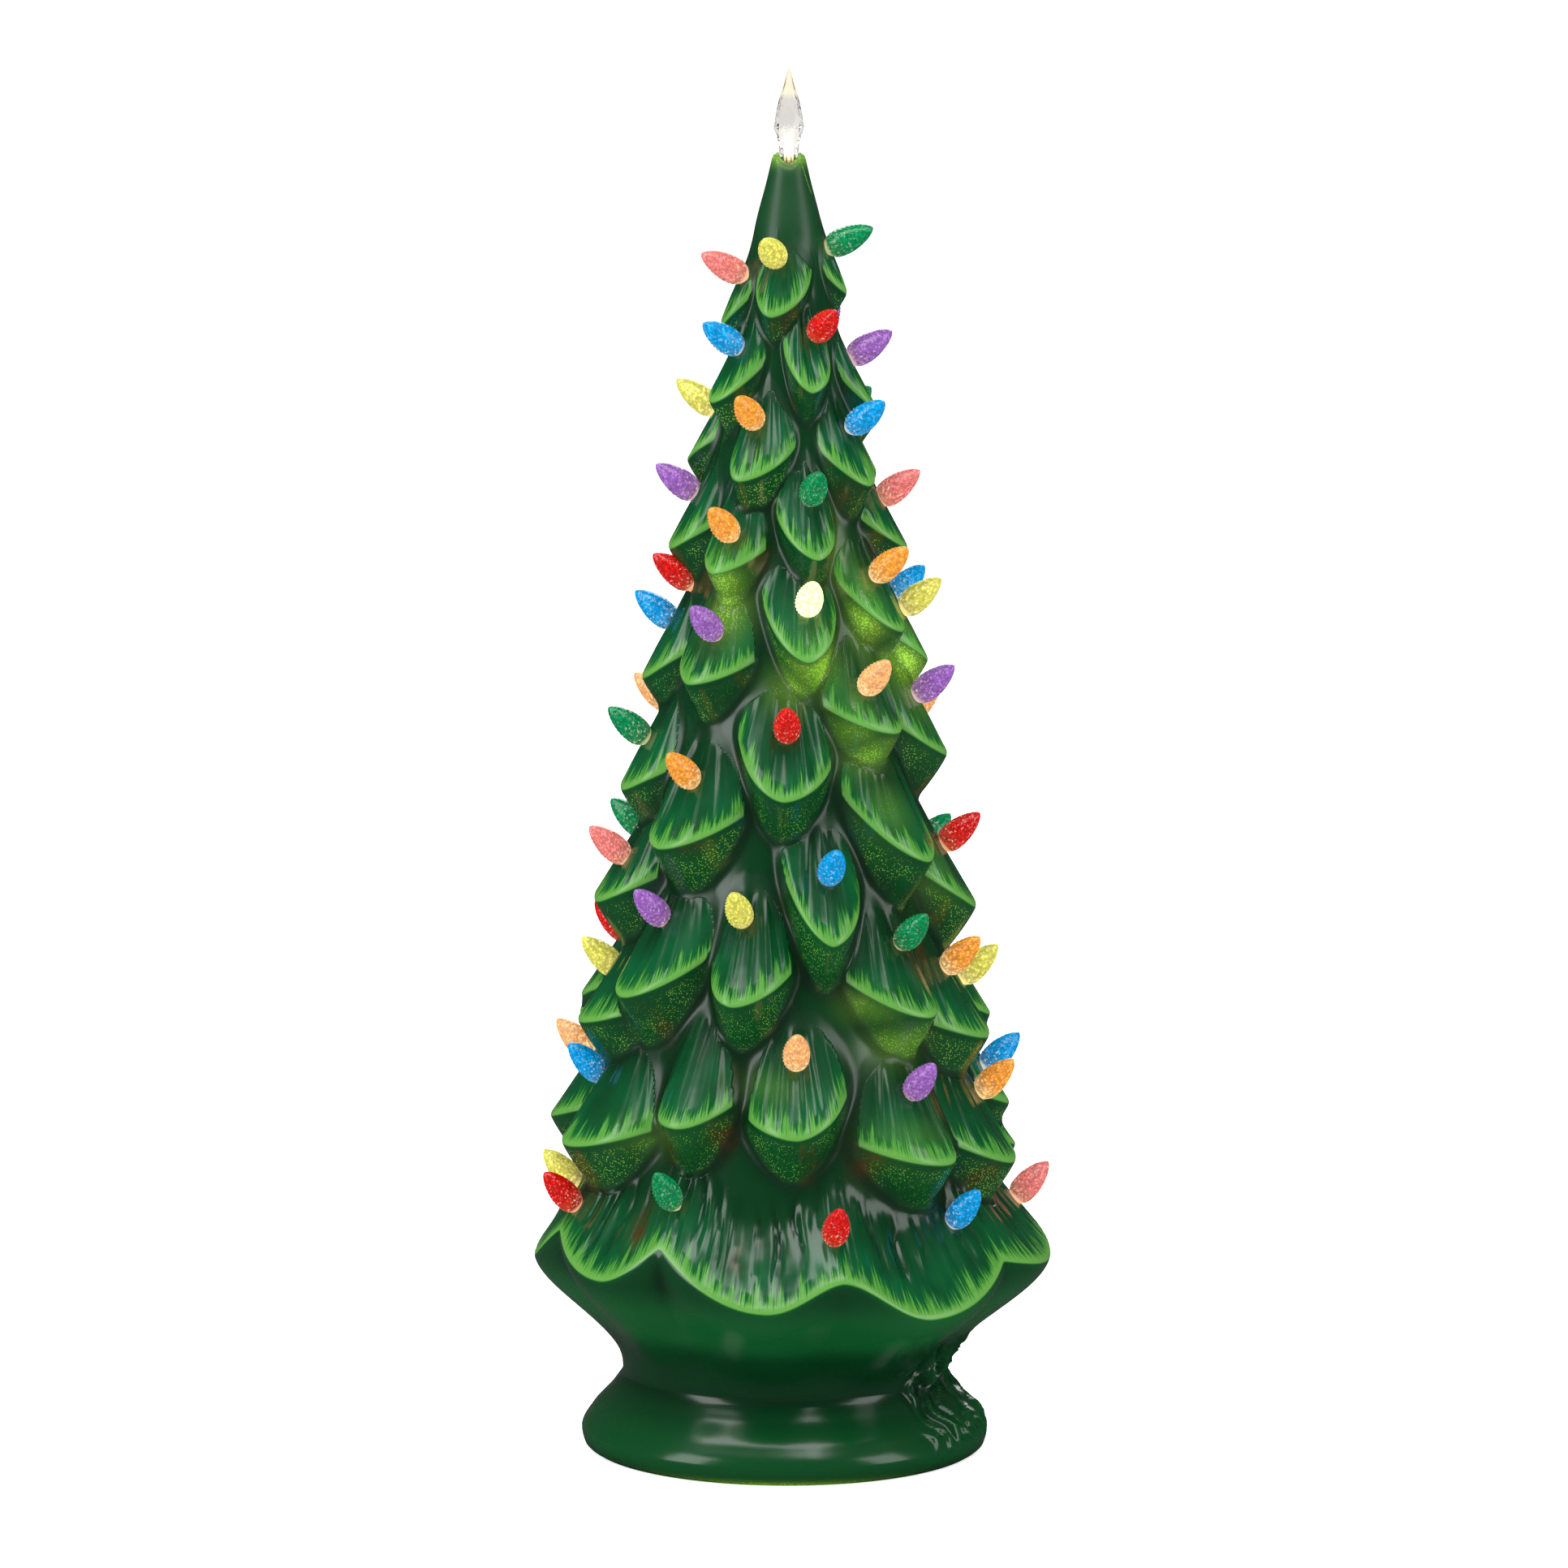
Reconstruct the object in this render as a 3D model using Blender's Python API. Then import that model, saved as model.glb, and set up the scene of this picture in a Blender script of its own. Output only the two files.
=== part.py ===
"""A light-up ceramic Christmas tree figurine, in metres, +Z up.

The glazed tree stands on its own foot ring, with the origin at the centre of that ring on the table.
The tree's front faces -Y. Azimuths are in degrees from the front, positive towards +X.
"""

import math

import bmesh
import bpy
import numpy as np
from mathutils import Matrix, Vector

# Driving sizes of the glazed body
TREE_TOP = 0.572
RIM_DIP = 0.0025
WALL = 0.0045
TOP_HOLE_RADIUS = 0.0046
NECK_HEIGHT = 0.036
# Height and radius of the creases between the leaves, from the foot to the top rim
BODY_PROFILE = (
    (0.000, 0.0858), (0.002, 0.0886), (0.008, 0.0900), (0.016, 0.0858), (0.027, 0.0762),
    (0.036, 0.0713), (0.046, 0.0728), (0.060, 0.0822), (0.080, 0.0915), (0.100, 0.0910),
    (0.117, 0.0880), (0.140, 0.0835), (0.175, 0.0765), (0.226, 0.0655), (0.275, 0.0575),
    (0.333, 0.0500), (0.388, 0.0405), (0.440, 0.0310), (0.488, 0.0215), (0.520, 0.0175),
    (0.541, 0.0142), (0.562, 0.0089), (0.572, 0.0066),
)
# Height and radius that the leaf tips reach
REACH_PROFILE = (
    (0.070, 0.1155), (0.095, 0.1145), (0.143, 0.1035), (0.191, 0.0930), (0.244, 0.0840),
    (0.301, 0.0730), (0.345, 0.0635), (0.402, 0.0530), (0.464, 0.0395), (0.514, 0.0255),
)
LEFT_REACH = 0.0024
LOW_LEAVES_TO = 0.26
# Height of a leaf tip and the length of the leaf above it
LENGTH_PROFILE = ((0.080, 0.046), (0.140, 0.060), (0.240, 0.062), (0.350, 0.056), (0.470, 0.050), (0.510, 0.042))
LEAF_SWELL_POWER = 1.2
ROOT_DEPTH = 0.0030
LEAF_ROUNDNESS = 2.3
EDGE_FALL = 0.72
EDGE_STEEPNESS = 7.0
LEAF_TAPER = 0.60
# Soft folds that fan out down each leaf
FOLD_DEPTH = 0.0009
FOLD_TURNS = 8.5
LIP_POWER = 1.6
LIP_FOLLOW = 0.5
LIP_ROUNDING = 0.0016
CREASE_ROUNDING = 0.0022
UNDERSIDE_DROP = 0.013
UNDERSIDE_POWER = 1.2
UNDERSIDE_SPAN = 0.020
# The skirt under the leaves
SKIRT_RADIUS = 0.1145
SKIRT_LEAN = 0.0034
SKIRT_CREASE = 0.0085
SKIRT_LENGTH = 0.043
SKIRT_SWELL_POWER = 1.6
LOBE_CUSP = 0.9
LOBE_ROUND = 2.0
BOWL_POWER = 0.92
CREASE_FADE_POWER = 3.5

# Each leaf on the front: azimuth and height of its tip, the degrees that its lip runs to the left and to the
# right, and how far the lip climbs to each end in mm
FRONT_LEAVES = (
    (-16, 0.505, 34, 58, 15, 22),
    (17, 0.473, 25, 33, 21, 18), (-60, 0.467, 28, 38, 16, 20),
    (-28, 0.435, 18, 37, 13, 16), (50, 0.432, 28, 26, 19, 16),
    (15, 0.402, 25, 18, 21, 14), (-37, 0.395, 18, 26, 13, 12),
    (9, 0.3585, 26, 21, 29, 20), (-43, 0.347, 20, 29, 15, 12), (58, 0.3685, 31, 18, 27, 13),
    (-1, 0.2995, 24, 23, 28, 15), (45, 0.326, 30, 15, 14, 10),
    (-46, 0.276, 18, 30, 14, 17), (52, 0.270, 30, 17, 34, 15),
    (14, 0.238, 18, 17, 38, 22),
    (-52, 0.211, 15, 27, 12, 23), (-15, 0.212, 13, 19, 11, 15), (44, 0.204, 25, 12, 19, 8), (73, 0.189, 25, 14, 13, 10),
    (-74, 0.195, 15, 25, 8, 12),
    (3, 0.156, 16, 18, 8, 19), (-28, 0.159, 13, 14, 4, 11), (-66, 0.143, 15, 26, 6, 12), (43, 0.141, 24, 11, 11, 6),
    (73, 0.134, 26, 14, 19, 9),
)
# The leaves at the two sides, which stand by themselves
SIDE_LEAVES = (
    (84, 0.513, 34, 34, 13, 14), (-84, 0.499, 34, 34, 18, 18),
    (86, 0.460, 28, 30, 22, 16), (-104, 0.438, 26, 24, 18, 14),
    (86, 0.401, 32, 26, 18, 14), (-78, 0.402, 25, 25, 11, 14), (-116, 0.395, 18, 20, 12, 12),
    (94, 0.351, 22, 24, 16, 18), (-86, 0.344, 28, 24, 22, 16),
    (84, 0.311, 28, 20, 20, 16), (-79, 0.296, 22, 22, 12, 14), (-118, 0.290, 18, 20, 14, 14),
    (87, 0.243, 26, 20, 24, 16), (-78, 0.247, 28, 22, 12, 16),
    (104, 0.190, 18, 18, 12, 12), (-105, 0.198, 17, 18, 12, 12),
    (104, 0.150, 17, 18, 10, 10), (-97, 0.146, 18, 18, 8, 10),
)
# The lobes of the skirt: azimuth and height of each lobe's tip, then of the crease on its right, and how deep
# that crease is
SKIRT_LOBES = (
    (-174, 0.079, -155, 0.098, 0.9), (-134, 0.080, -113, 0.100, 1.0), (-90, 0.086, -70, 0.104, 0.8),
    (-47, 0.0895, -31, 0.107, 0.9), (-4, 0.0825, 13, 0.0955, 0.3), (34, 0.077, 60, 0.0945, 0.9),
    (82, 0.088, 102, 0.100, 0.9), (121, 0.079, 141, 0.098, 0.7), (161, 0.078, 175, 0.092, 0.5),
)
BACK_LEAF_DROP = 0.004

# Driving sizes of the bulbs
BULB_LENGTH = 0.0225
BULB_RADIUS = 0.0062
BULB_SINKS = 0.0010
BULB_PEG_RADIUS = 0.0032
BULB_SIDES = 6
# Share of the length from the base and share of the greatest radius
BULB_OUTLINE = ((0.0, 0.56), (0.14, 0.88), (0.38, 1.0), (0.66, 0.78), (0.92, 0.36))
PEG_STICKS_IN = 0.0002
SEAT_RUNS_ON = 0.0055
FIT_GAP = 0.0003
# Height and how far the bulbs there are turned up from level, in degrees
TILT_PROFILE = ((0.10, 48), (0.25, 42), (0.40, 38), (0.48, 34), (0.54, 24))
# Azimuth, height and colour of the bulbs on the front, each a piece of its own
FRONT_BULBS = (
    (-16, 0.528, "yellow"), (78, 0.532, "green"), (-72, 0.520, "pink"), (28, 0.496, "red"), (-57, 0.489, "blue"),
    (-26, 0.458, "orange"), (54, 0.455, "blue"), (14, 0.426, "green"), (-32, 0.410, "orange"), (10, 0.379, "white"),
    (55, 0.391, "orange"), (-37, 0.367, "purple"), (0, 0.325, "red"), (-41, 0.303, "orange"), (37, 0.344, "peach"),
    (15, 0.264, "blue"), (-50, 0.242, "purple"), (-16, 0.245, "yellow"), (44, 0.233, "green"), (3, 0.185, "peach"),
    (40, 0.169, "purple"), (-31, 0.123, "green"), (12, 0.111, "red"), (51, 0.111, "blue"),
)
# The strings of bulbs at the sides and the back, from the top down
SIDE_STRINGS = {
    "right": (
        (94, 0.483, "purple"), (83, 0.422, "pink"), (97, 0.372, "yellow"), (80, 0.336, "purple"),
        (92, 0.268, "red"), (69, 0.218, "orange"), (78, 0.161, "orange"), (97, 0.108, "pink"),
    ),
    "right_rear": (
        (122, 0.374, "blue"), (104, 0.323, "peach"), (118, 0.262, "green"), (94, 0.208, "yellow"),
        (97, 0.167, "blue"), (123, 0.110, "green"),
    ),
    "back_right": (
        (150, 0.493, "purple"), (132, 0.455, "green"), (143, 0.405, "red"), (146, 0.343, "yellow"),
        (142, 0.298, "pink"), (141, 0.235, "blue"), (137, 0.167, "red"), (150, 0.115, "peach"),
    ),
    "back": (
        (-170, 0.527, "red"), (167, 0.423, "blue"), (175, 0.377, "orange"), (180, 0.323, "purple"),
        (166, 0.262, "yellow"), (-168, 0.243, "green"), (177, 0.183, "pink"), (179, 0.108, "orange"),
    ),
    "back_left": (
        (-152, 0.455, "peach"), (-142, 0.405, "purple"), (-144, 0.363, "yellow"), (-140, 0.302, "blue"),
        (-138, 0.241, "orange"), (-143, 0.180, "green"), (-150, 0.112, "purple"),
    ),
    "left_rear": (
        (-103, 0.460, "yellow"), (-97, 0.366, "blue"), (-98, 0.329, "peach"), (-100, 0.272, "green"), (-111, 0.223, "red"),
        (-99, 0.172, "peach"), (-97, 0.113, "yellow"),
    ),
    "left": (
        (-85, 0.424, "purple"), (-78, 0.385, "red"), (-80, 0.317, "green"), (-76, 0.265, "pink"), (-86, 0.213, "yellow"),
        (-76, 0.168, "blue"), (-69, 0.113, "red"),
    ),
}
EVERY_BULB = FRONT_BULBS + tuple(bulb for string in SIDE_STRINGS.values() for bulb in string)
BULB_COLOURS = {
    "yellow": (0.85, 0.75, 0.06), "green": (0.0, 0.42, 0.17), "pink": (0.88, 0.22, 0.2), "red": (0.75, 0.015, 0.02),
    "blue": (0.0, 0.33, 0.78), "purple": (0.32, 0.1, 0.55), "orange": (0.9, 0.3, 0.03), "peach": (0.95, 0.45, 0.2),
    "white": (1.0, 0.93, 0.55),
}

# Driving sizes of the wiring
WIRE_RADIUS = 0.0009
WIRE_INSET = 0.0040
STRING_LEAVES_WALL = 0.076
LED_RADIUS = 0.0016

# Driving sizes of the crown bulb
CROWN_PEG_RADIUS = 0.0042
CROWN_PEG_LENGTH = 0.014
CROWN_BORE_RADIUS = 0.0021
CROWN_BORE_DEPTH = 0.026
CROWN_LED_LENGTH = 0.024
CROWN_SIDES = 8
# Height above the rim and radius of the faceted flame
CROWN_PROFILE = ((0.0, 0.0043), (0.006, 0.0048), (0.012, 0.0066), (0.018, 0.0060), (0.026, 0.0036), (0.038, 0.0004))

# Driving sizes of the base
PLATE_LOW = 0.003
PLATE_TOP = 0.006
PLATE_GAP = 0.0008
PLATE_RADIUS = BODY_PROFILE[0][1] - WALL - PLATE_GAP
LUG_WIDTH = 0.013
LUG_INNER = PLATE_RADIUS - 0.0122
LUG_OUTER = PLATE_RADIUS + 0.0068
LUG_TOP = 0.0145
LUG_AZIMUTHS = (30.0, 150.0, 270.0)
SCREW_RING = PLATE_RADIUS - 0.0057
SCREW_RADIUS = 0.0015
SCREW_TOP = 0.0125
SCREW_HEAD_RADIUS = 0.0029
SCREW_HEAD_HEIGHT = 0.0016
CROSS_LENGTH = 0.0034
CROSS_WIDTH = 0.0009
CROSS_DEPTH = 0.0009

# Driving sizes of the battery case
CELL_RADIUS = 0.00715
CELL_LENGTH = 0.0492
CELL_NUB_RADIUS = 0.0027
CELL_NUB_LENGTH = 0.0013
CELL_COUNT = 3
CELL_GAP = 0.0006
CELL_LIFT = 0.0004
CONTACT_THICKNESS = 0.0005
SPRING_LENGTH = 0.0045
SPRING_RADIUS = 0.0034
CASE_WALL = 0.0018
CASE_CENTRE = (0.0, -0.016)
CASE_SIDE_ROOM = 0.0004
CASE_INSIDE = (CELL_LENGTH + CELL_NUB_LENGTH + SPRING_LENGTH + CONTACT_THICKNESS + 5 * FIT_GAP,
               CELL_COUNT * 2 * CELL_RADIUS + (CELL_COUNT - 1) * CELL_GAP + 2 * CASE_SIDE_ROOM)
DOOR_MARGIN = 0.0015
DOOR_SIZE = (CASE_INSIDE[0] + 2 * DOOR_MARGIN, CASE_INSIDE[1] + 2 * DOOR_MARGIN)
DOOR_THICKNESS = 0.0018
CELL_Z = PLATE_LOW + DOOR_THICKNESS + FIT_GAP + CELL_LIFT + CELL_RADIUS
CASE_TOP = CELL_Z + CELL_RADIUS + CELL_LIFT + CASE_WALL
KNUCKLE_RADIUS = 0.0019
HINGE_RADIUS = 0.0008
HINGE_Y = CASE_CENTRE[1] - DOOR_SIZE[1] / 2 - 0.0018
HINGE_Z = PLATE_LOW + KNUCKLE_RADIUS
HINGE_ENGAGEMENT = 0.0030
LATCH_WIDTH = 0.010

# Driving sizes of the switch and the circuit board
SWITCH_CENTRE = (0.034, 0.036)
SWITCH_SIZE = (0.0145, 0.0066, 0.0050)
SLIDER_SIZE = (0.0040, 0.0026)
SLIDER_FLANGE = (0.0060, 0.0040, 0.0012)
SLIDER_TRAVEL = 0.0025
SLIDER_STANDS_OUT = 0.0016
BOARD_CENTRE = (-0.012, 0.038)
BOARD_SIZE = (0.034, 0.022, 0.0016)
POST_RADIUS = 0.0022
POST_HEIGHT = 0.0050
PLUG_LOW = PLATE_TOP + POST_HEIGHT + FIT_GAP + BOARD_SIZE[2] + FIT_GAP
PLUG_SIZE = (0.026, 0.012, 0.006)
PLUG_PITCH = (0.005, 0.0035)
# Column and row on the plug where each string's wire goes in
PLUG_PLACES = {
    "left": (-2, -1), "front_left": (-1, -1), "front_middle": (0, -1), "front_right": (1, -1), "right": (2, -1),
    "left_rear": (-2, 1), "back_left": (-1, 1), "back": (0, 1), "back_right": (1, 1), "right_rear": (2, 1),
}

# How finely the leaves are sampled, and the triangles that are kept of them
AROUND = 224
UPWARDS = 300
KEPT_TRIANGLES = 5000


def clear_scene():
    for obj in list(bpy.data.objects):
        bpy.data.objects.remove(obj)


def material(name, colour, roughness, metallic=0.0):
    made = bpy.data.materials.new(name)
    made.use_nodes = True
    shader = made.node_tree.nodes["Principled BSDF"]
    shader.inputs["Base Color"].default_value = (*colour, 1.0)
    shader.inputs["Roughness"].default_value = roughness
    shader.inputs["Metallic"].default_value = metallic
    made.diffuse_color = (*colour, 1.0)
    return made


def add_object(name, mesh, finish=None):
    obj = bpy.data.objects.new(name, mesh)
    bpy.context.scene.collection.objects.link(obj)
    if finish is not None:
        mesh.materials.append(finish)
    return obj


def mesh_from(name, vertices, faces):
    mesh = bpy.data.meshes.new(name)
    mesh.from_pydata([tuple(v) for v in vertices], [], faces)
    mesh.validate()
    return mesh


def helper(obj):
    obj.hide_render = True
    obj.display_type = "WIRE"
    return obj


def boolean(obj, other, operation):
    step = obj.modifiers.new(operation.title(), "BOOLEAN")
    step.operation = operation
    step.object = other
    step.solver = "EXACT"
    helper(other)


def smooth_curve(points, at):
    """A smooth curve through (position, value) points, without overshoot."""
    x = np.array([p[0] for p in points])
    y = np.array([p[1] for p in points])
    step = np.diff(x)
    slope = np.diff(y) / step
    tangent = np.zeros(len(x))
    tangent[0], tangent[-1] = slope[0], slope[-1]
    same_way = slope[:-1] * slope[1:] > 0
    harmonic = 2 * slope[:-1] * slope[1:] / np.where(same_way, slope[:-1] + slope[1:], 1.0)
    tangent[1:-1] = np.where(same_way, harmonic, 0.0)
    at = np.clip(np.asarray(at, float), x[0], x[-1])
    i = np.clip(np.searchsorted(x, at, side="right") - 1, 0, len(x) - 2)
    s = (at - x[i]) / step[i]
    start = y[i] * (1 + 2 * s) * (1 - s) ** 2 + tangent[i] * step[i] * s * (1 - s) ** 2
    end = y[i + 1] * s * s * (3 - 2 * s) + tangent[i + 1] * step[i] * s * s * (s - 1)
    return start + end


def body_radius(z):
    return smooth_curve(BODY_PROFILE, z)


def smooth_min(a, b, width):
    h = np.clip(0.5 + 0.5 * (b - a) / width, 0.0, 1.0)
    return b + (a - b) * h - width * h * (1 - h)


def smooth_max(a, b, width):
    return -smooth_min(-a, -b, width)


def all_leaves():
    """Every leaf as (azimuth, tip height, left, right, left climb, right climb), the back ones mirrored."""
    leaves = list(SIDE_LEAVES)
    for az, tip, left, right, climb_left, climb_right in FRONT_LEAVES:
        leaves.append((az, tip, left, right, climb_left, climb_right))
        leaves.append((180 - az, tip - BACK_LEAF_DROP, right, left, climb_right, climb_left))
    return leaves


def reach_radius(az, tip):
    """Radius that the tip of a leaf reaches, a little more for the low leaves on the left."""
    left = max(-math.sin(math.radians(az)), 0.0) if tip < LOW_LEAVES_TO else 0.0
    return float(smooth_curve(REACH_PROFILE, tip)) + LEFT_REACH * left


def leaf_radius(leaf, theta, z):
    """Radius of one leaf's outer surface, which lies below the body's own radius away from the leaf."""
    az, tip, left, right, climb_left, climb_right = leaf
    offset = (theta - math.radians(az) + math.pi) % (2 * math.pi) - math.pi
    half = np.where(offset < 0, math.radians(left), math.radians(right))
    climb = np.where(offset < 0, climb_left, climb_right) * 0.001
    length = float(smooth_curve(LENGTH_PROFILE, tip))
    reach = reach_radius(az, tip) - float(body_radius(tip))
    share = np.abs(offset) / half
    lip = tip + climb * np.minimum(share, 1.25) ** LIP_POWER

    def top_side(height):
        above = (height - tip - LIP_FOLLOW * (lip - tip)) / length
        along = np.clip(above, -0.5, 1.0)
        narrowing = 1 - LEAF_TAPER * np.clip((height - lip) / length, 0.0, 1.0) ** 1.4
        across = share / narrowing
        fall = EDGE_FALL * np.minimum(across, 1.0) ** LEAF_ROUNDNESS + EDGE_STEEPNESS * np.maximum(across - 0.97, 0.0)
        side = np.where(offset < 0, -across, across)
        folds = FOLD_DEPTH * np.sin(side * FOLD_TURNS + az) * np.clip(1.1 - across, 0.0, 1.0)
        folds = folds * np.clip(4 * along * (1 - along) + 0.25, 0.0, 1.0)
        swell = (reach + ROOT_DEPTH) * (1 - along) ** LEAF_SWELL_POWER * (1 - fall)
        return body_radius(height) - ROOT_DEPTH + swell + folds

    below = lip - z
    falling = UNDERSIDE_DROP * (np.maximum(below, 0.0) / UNDERSIDE_SPAN) ** UNDERSIDE_POWER - np.maximum(-below, 0.0)
    return smooth_min(top_side(z), top_side(lip) - falling, LIP_ROUNDING)


def skirt_radius(theta, z):
    """Radius of the skirt: a wavy lip round the tree, a slope above it and a smooth bowl below it."""
    az = np.degrees(theta)
    tips = sorted(SKIRT_LOBES)
    edges = []
    for tip_az, tip, valley_az, valley, depth in tips:
        edges.append((tip_az, tip, 0.0))
        edges.append((valley_az, valley, depth))
    lip = np.full(np.shape(az), tips[0][1])
    crease = np.zeros(np.shape(az))
    edges.append((edges[0][0] + 360, edges[0][1], 0.0))
    for (start_az, start, start_depth), (end_az, end, end_depth) in zip(edges, edges[1:]):
        turn = (az - start_az) % 360
        inside = turn < (end_az - start_az)
        share = np.clip(turn / (end_az - start_az), 0.0, 1.0)
        power = LOBE_ROUND - (LOBE_ROUND - LOBE_CUSP) * (start_depth or end_depth)
        if start_depth:
            wave = 1 - np.sin(share * math.pi / 2) ** power
            lip = np.where(inside, end + (start - end) * wave, lip)
            crease = np.where(inside, wave * start_depth, crease)
        else:
            wave = 1 - np.cos(share * math.pi / 2) ** power
            lip = np.where(inside, start + (end - start) * wave, lip)
            crease = np.where(inside, wave * end_depth, crease)
    full_radius = SKIRT_RADIUS + SKIRT_LEAN * np.sin(theta)
    edge_radius = full_radius - SKIRT_CREASE * crease ** 1.5
    along = np.clip((z - lip) / SKIRT_LENGTH, -0.4, 1.0)
    top_side = body_radius(z) + (edge_radius - body_radius(lip)) * (1 - along) ** SKIRT_SWELL_POWER
    down = np.clip((lip - z) / (lip - NECK_HEIGHT), 0.0, 1.0)
    bowl_edge = full_radius - SKIRT_CREASE * crease ** 1.5 * (1 - down) ** CREASE_FADE_POWER
    inward = (down * down * (3 - 2 * down)) ** BOWL_POWER
    bowl = bowl_edge - (bowl_edge - body_radius(NECK_HEIGHT)) * inward
    bowl = np.where(z < NECK_HEIGHT, 0.0, bowl) + np.maximum(z - lip, 0.0) * 3
    return smooth_min(top_side, bowl, LIP_ROUNDING)


def tree_radius(theta, z):
    """Radius of the glazed surface at each azimuth and height."""
    radius = smooth_max(body_radius(z) + 0.0 * theta, skirt_radius(theta, z), CREASE_ROUNDING)
    for leaf in all_leaves():
        radius = smooth_max(radius, leaf_radius(leaf, theta, z), CREASE_ROUNDING)
    return radius


def point_at(az, radius, z):
    angle = math.radians(az)
    return Vector((radius * math.sin(angle), -radius * math.cos(angle), z))


def cavity_radius(z):
    """Radius of the hollow inside, which is one wall in from the creases."""
    return np.maximum(body_radius(z) - WALL, TOP_HOLE_RADIUS)


def turned(name, profile, sides, matrix=Matrix.Identity(4), phase=0.0):
    """A closed turned solid from (radius, height) points that start and end on the axis or near it."""
    made = bmesh.new()
    rings = []
    for radius, height in profile:
        if radius <= 0:
            rings.append([made.verts.new((0, 0, height))])
            continue
        ring = []
        for k in range(sides):
            angle = 2 * math.pi * k / sides + phase
            ring.append(made.verts.new((radius * math.cos(angle), radius * math.sin(angle), height)))
        rings.append(ring)
    for low, high in zip(rings, rings[1:]):
        for k in range(sides):
            n = (k + 1) % sides
            corners = [low[k % len(low)], low[n % len(low)], high[n % len(high)], high[k % len(high)]]
            corners = list(dict.fromkeys(corners))
            if len(corners) > 2:
                made.faces.new(corners)
    for ring in (rings[0], rings[-1]):
        if len(ring) > 1:
            made.faces.new(ring)
    bmesh.ops.recalc_face_normals(made, faces=made.faces)
    made.transform(matrix)
    mesh = bpy.data.meshes.new(name)
    made.to_mesh(mesh)
    made.free()
    return mesh


def block(made, low, high):
    """Adds a box between two corners to a bmesh."""
    size = [b - a for a, b in zip(low, high)]
    centre = [(a + b) / 2 for a, b in zip(low, high)]
    place = Matrix.Translation(centre) @ Matrix.Diagonal((*size, 1.0))
    bmesh.ops.create_cube(made, size=1.0, matrix=place)


def blocks(name, boxes):
    made = bmesh.new()
    for low, high in boxes:
        block(made, low, high)
    mesh = bpy.data.meshes.new(name)
    made.to_mesh(mesh)
    made.free()
    return mesh


def along(start, direction):
    """A matrix that stands a turned solid's axis along a direction from a start point."""
    return Matrix.Translation(start) @ direction.to_track_quat("Z", "Y").to_matrix().to_4x4()


def body_mesh():
    """The solid outer shape of the glazed body: leaves, skirt, neck and foot."""
    theta = np.linspace(-math.pi, math.pi, AROUND, endpoint=False)
    share = np.linspace(0.0, 1.0, UPWARDS)
    top = TREE_TOP - RIM_DIP * np.cos(theta) ** 2
    z = share[:, None] * top[None, :]
    radius = tree_radius(theta[None, :], z)
    x, y = radius * np.sin(theta), -radius * np.cos(theta)
    vertices = np.stack([x, y, z], axis=-1).reshape(-1, 3)
    faces = []
    for row in range(UPWARDS - 1):
        for k in range(AROUND):
            n = (k + 1) % AROUND
            a, b = row * AROUND, (row + 1) * AROUND
            faces.append((a + k, a + n, b + n, b + k))
    last = (UPWARDS - 1) * AROUND
    faces.append(tuple(range(AROUND - 1, -1, -1)))
    faces.append(tuple(range(last, last + AROUND)))
    return mesh_from("tree_shell", vertices, faces)


def tilt(z):
    """How far a bulb's axis is turned up from level, in radians."""
    return math.radians(float(smooth_curve(TILT_PROFILE, z)))


def bulb_frame(az, z):
    """The base point and the axis of the bulb that stands on the leaves at this azimuth and height."""
    lift = tilt(z)
    axis = point_at(az, math.cos(lift), math.sin(lift))
    surface = float(tree_radius(np.array([math.radians(az)]), np.array([z]))[0])
    return point_at(az, surface - BULB_SINKS, z), axis


def peg_length(az, z, inset):
    """Distance back along a bulb's axis from its base to a depth inside the cavity wall."""
    base, axis = bulb_frame(az, z)
    length = 0.0
    while length < 0.06:
        at = base - axis * length
        if math.hypot(at.x, at.y) <= float(cavity_radius(at.z)) - inset:
            break
        length += 0.0002
    return length


def bulb_profile(peg, grow=0.0):
    """The (radius, height) points of a bulb, from the end of its peg to its tip."""
    flat = grow / math.cos(math.pi / BULB_SIDES)
    points = [(0.0, -peg - grow), (BULB_PEG_RADIUS + flat, -peg - grow)]
    for share, radius in BULB_OUTLINE:
        points.append((radius * BULB_RADIUS + flat, share * BULB_LENGTH - grow * (1 - 2 * share)))
    points.append((0.0, BULB_LENGTH + 2 * grow))
    return points


def bulb_mesh(name, az, z, peg, grow=0.0):
    base, axis = bulb_frame(az, z)
    return turned(name, bulb_profile(peg, grow), BULB_SIDES, along(base, axis))


def joined(name, meshes):
    """One mesh out of several that don't touch."""
    made = bmesh.new()
    for mesh in meshes:
        made.from_mesh(mesh)
        bpy.data.meshes.remove(mesh)
    mesh = bpy.data.meshes.new(name)
    made.to_mesh(mesh)
    made.free()
    return mesh


def wire_mesh(name, points, radius=WIRE_RADIUS, sides=4):
    """A round wire that only ever runs downwards, with level sections."""
    made = bmesh.new()
    rings = []
    for x, y, z in points:
        ring = []
        for k in range(sides):
            angle = 2 * math.pi * k / sides
            ring.append(made.verts.new((x + radius * math.cos(angle), y + radius * math.sin(angle), z)))
        rings.append(ring)
    for high, low in zip(rings, rings[1:]):
        for k in range(sides):
            n = (k + 1) % sides
            made.faces.new((low[k], low[n], high[n], high[k]))
    made.faces.new(rings[0])
    made.faces.new(rings[-1][::-1])
    bmesh.ops.recalc_face_normals(made, faces=made.faces)
    mesh = bpy.data.meshes.new(name)
    made.to_mesh(mesh)
    made.free()
    return mesh


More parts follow.
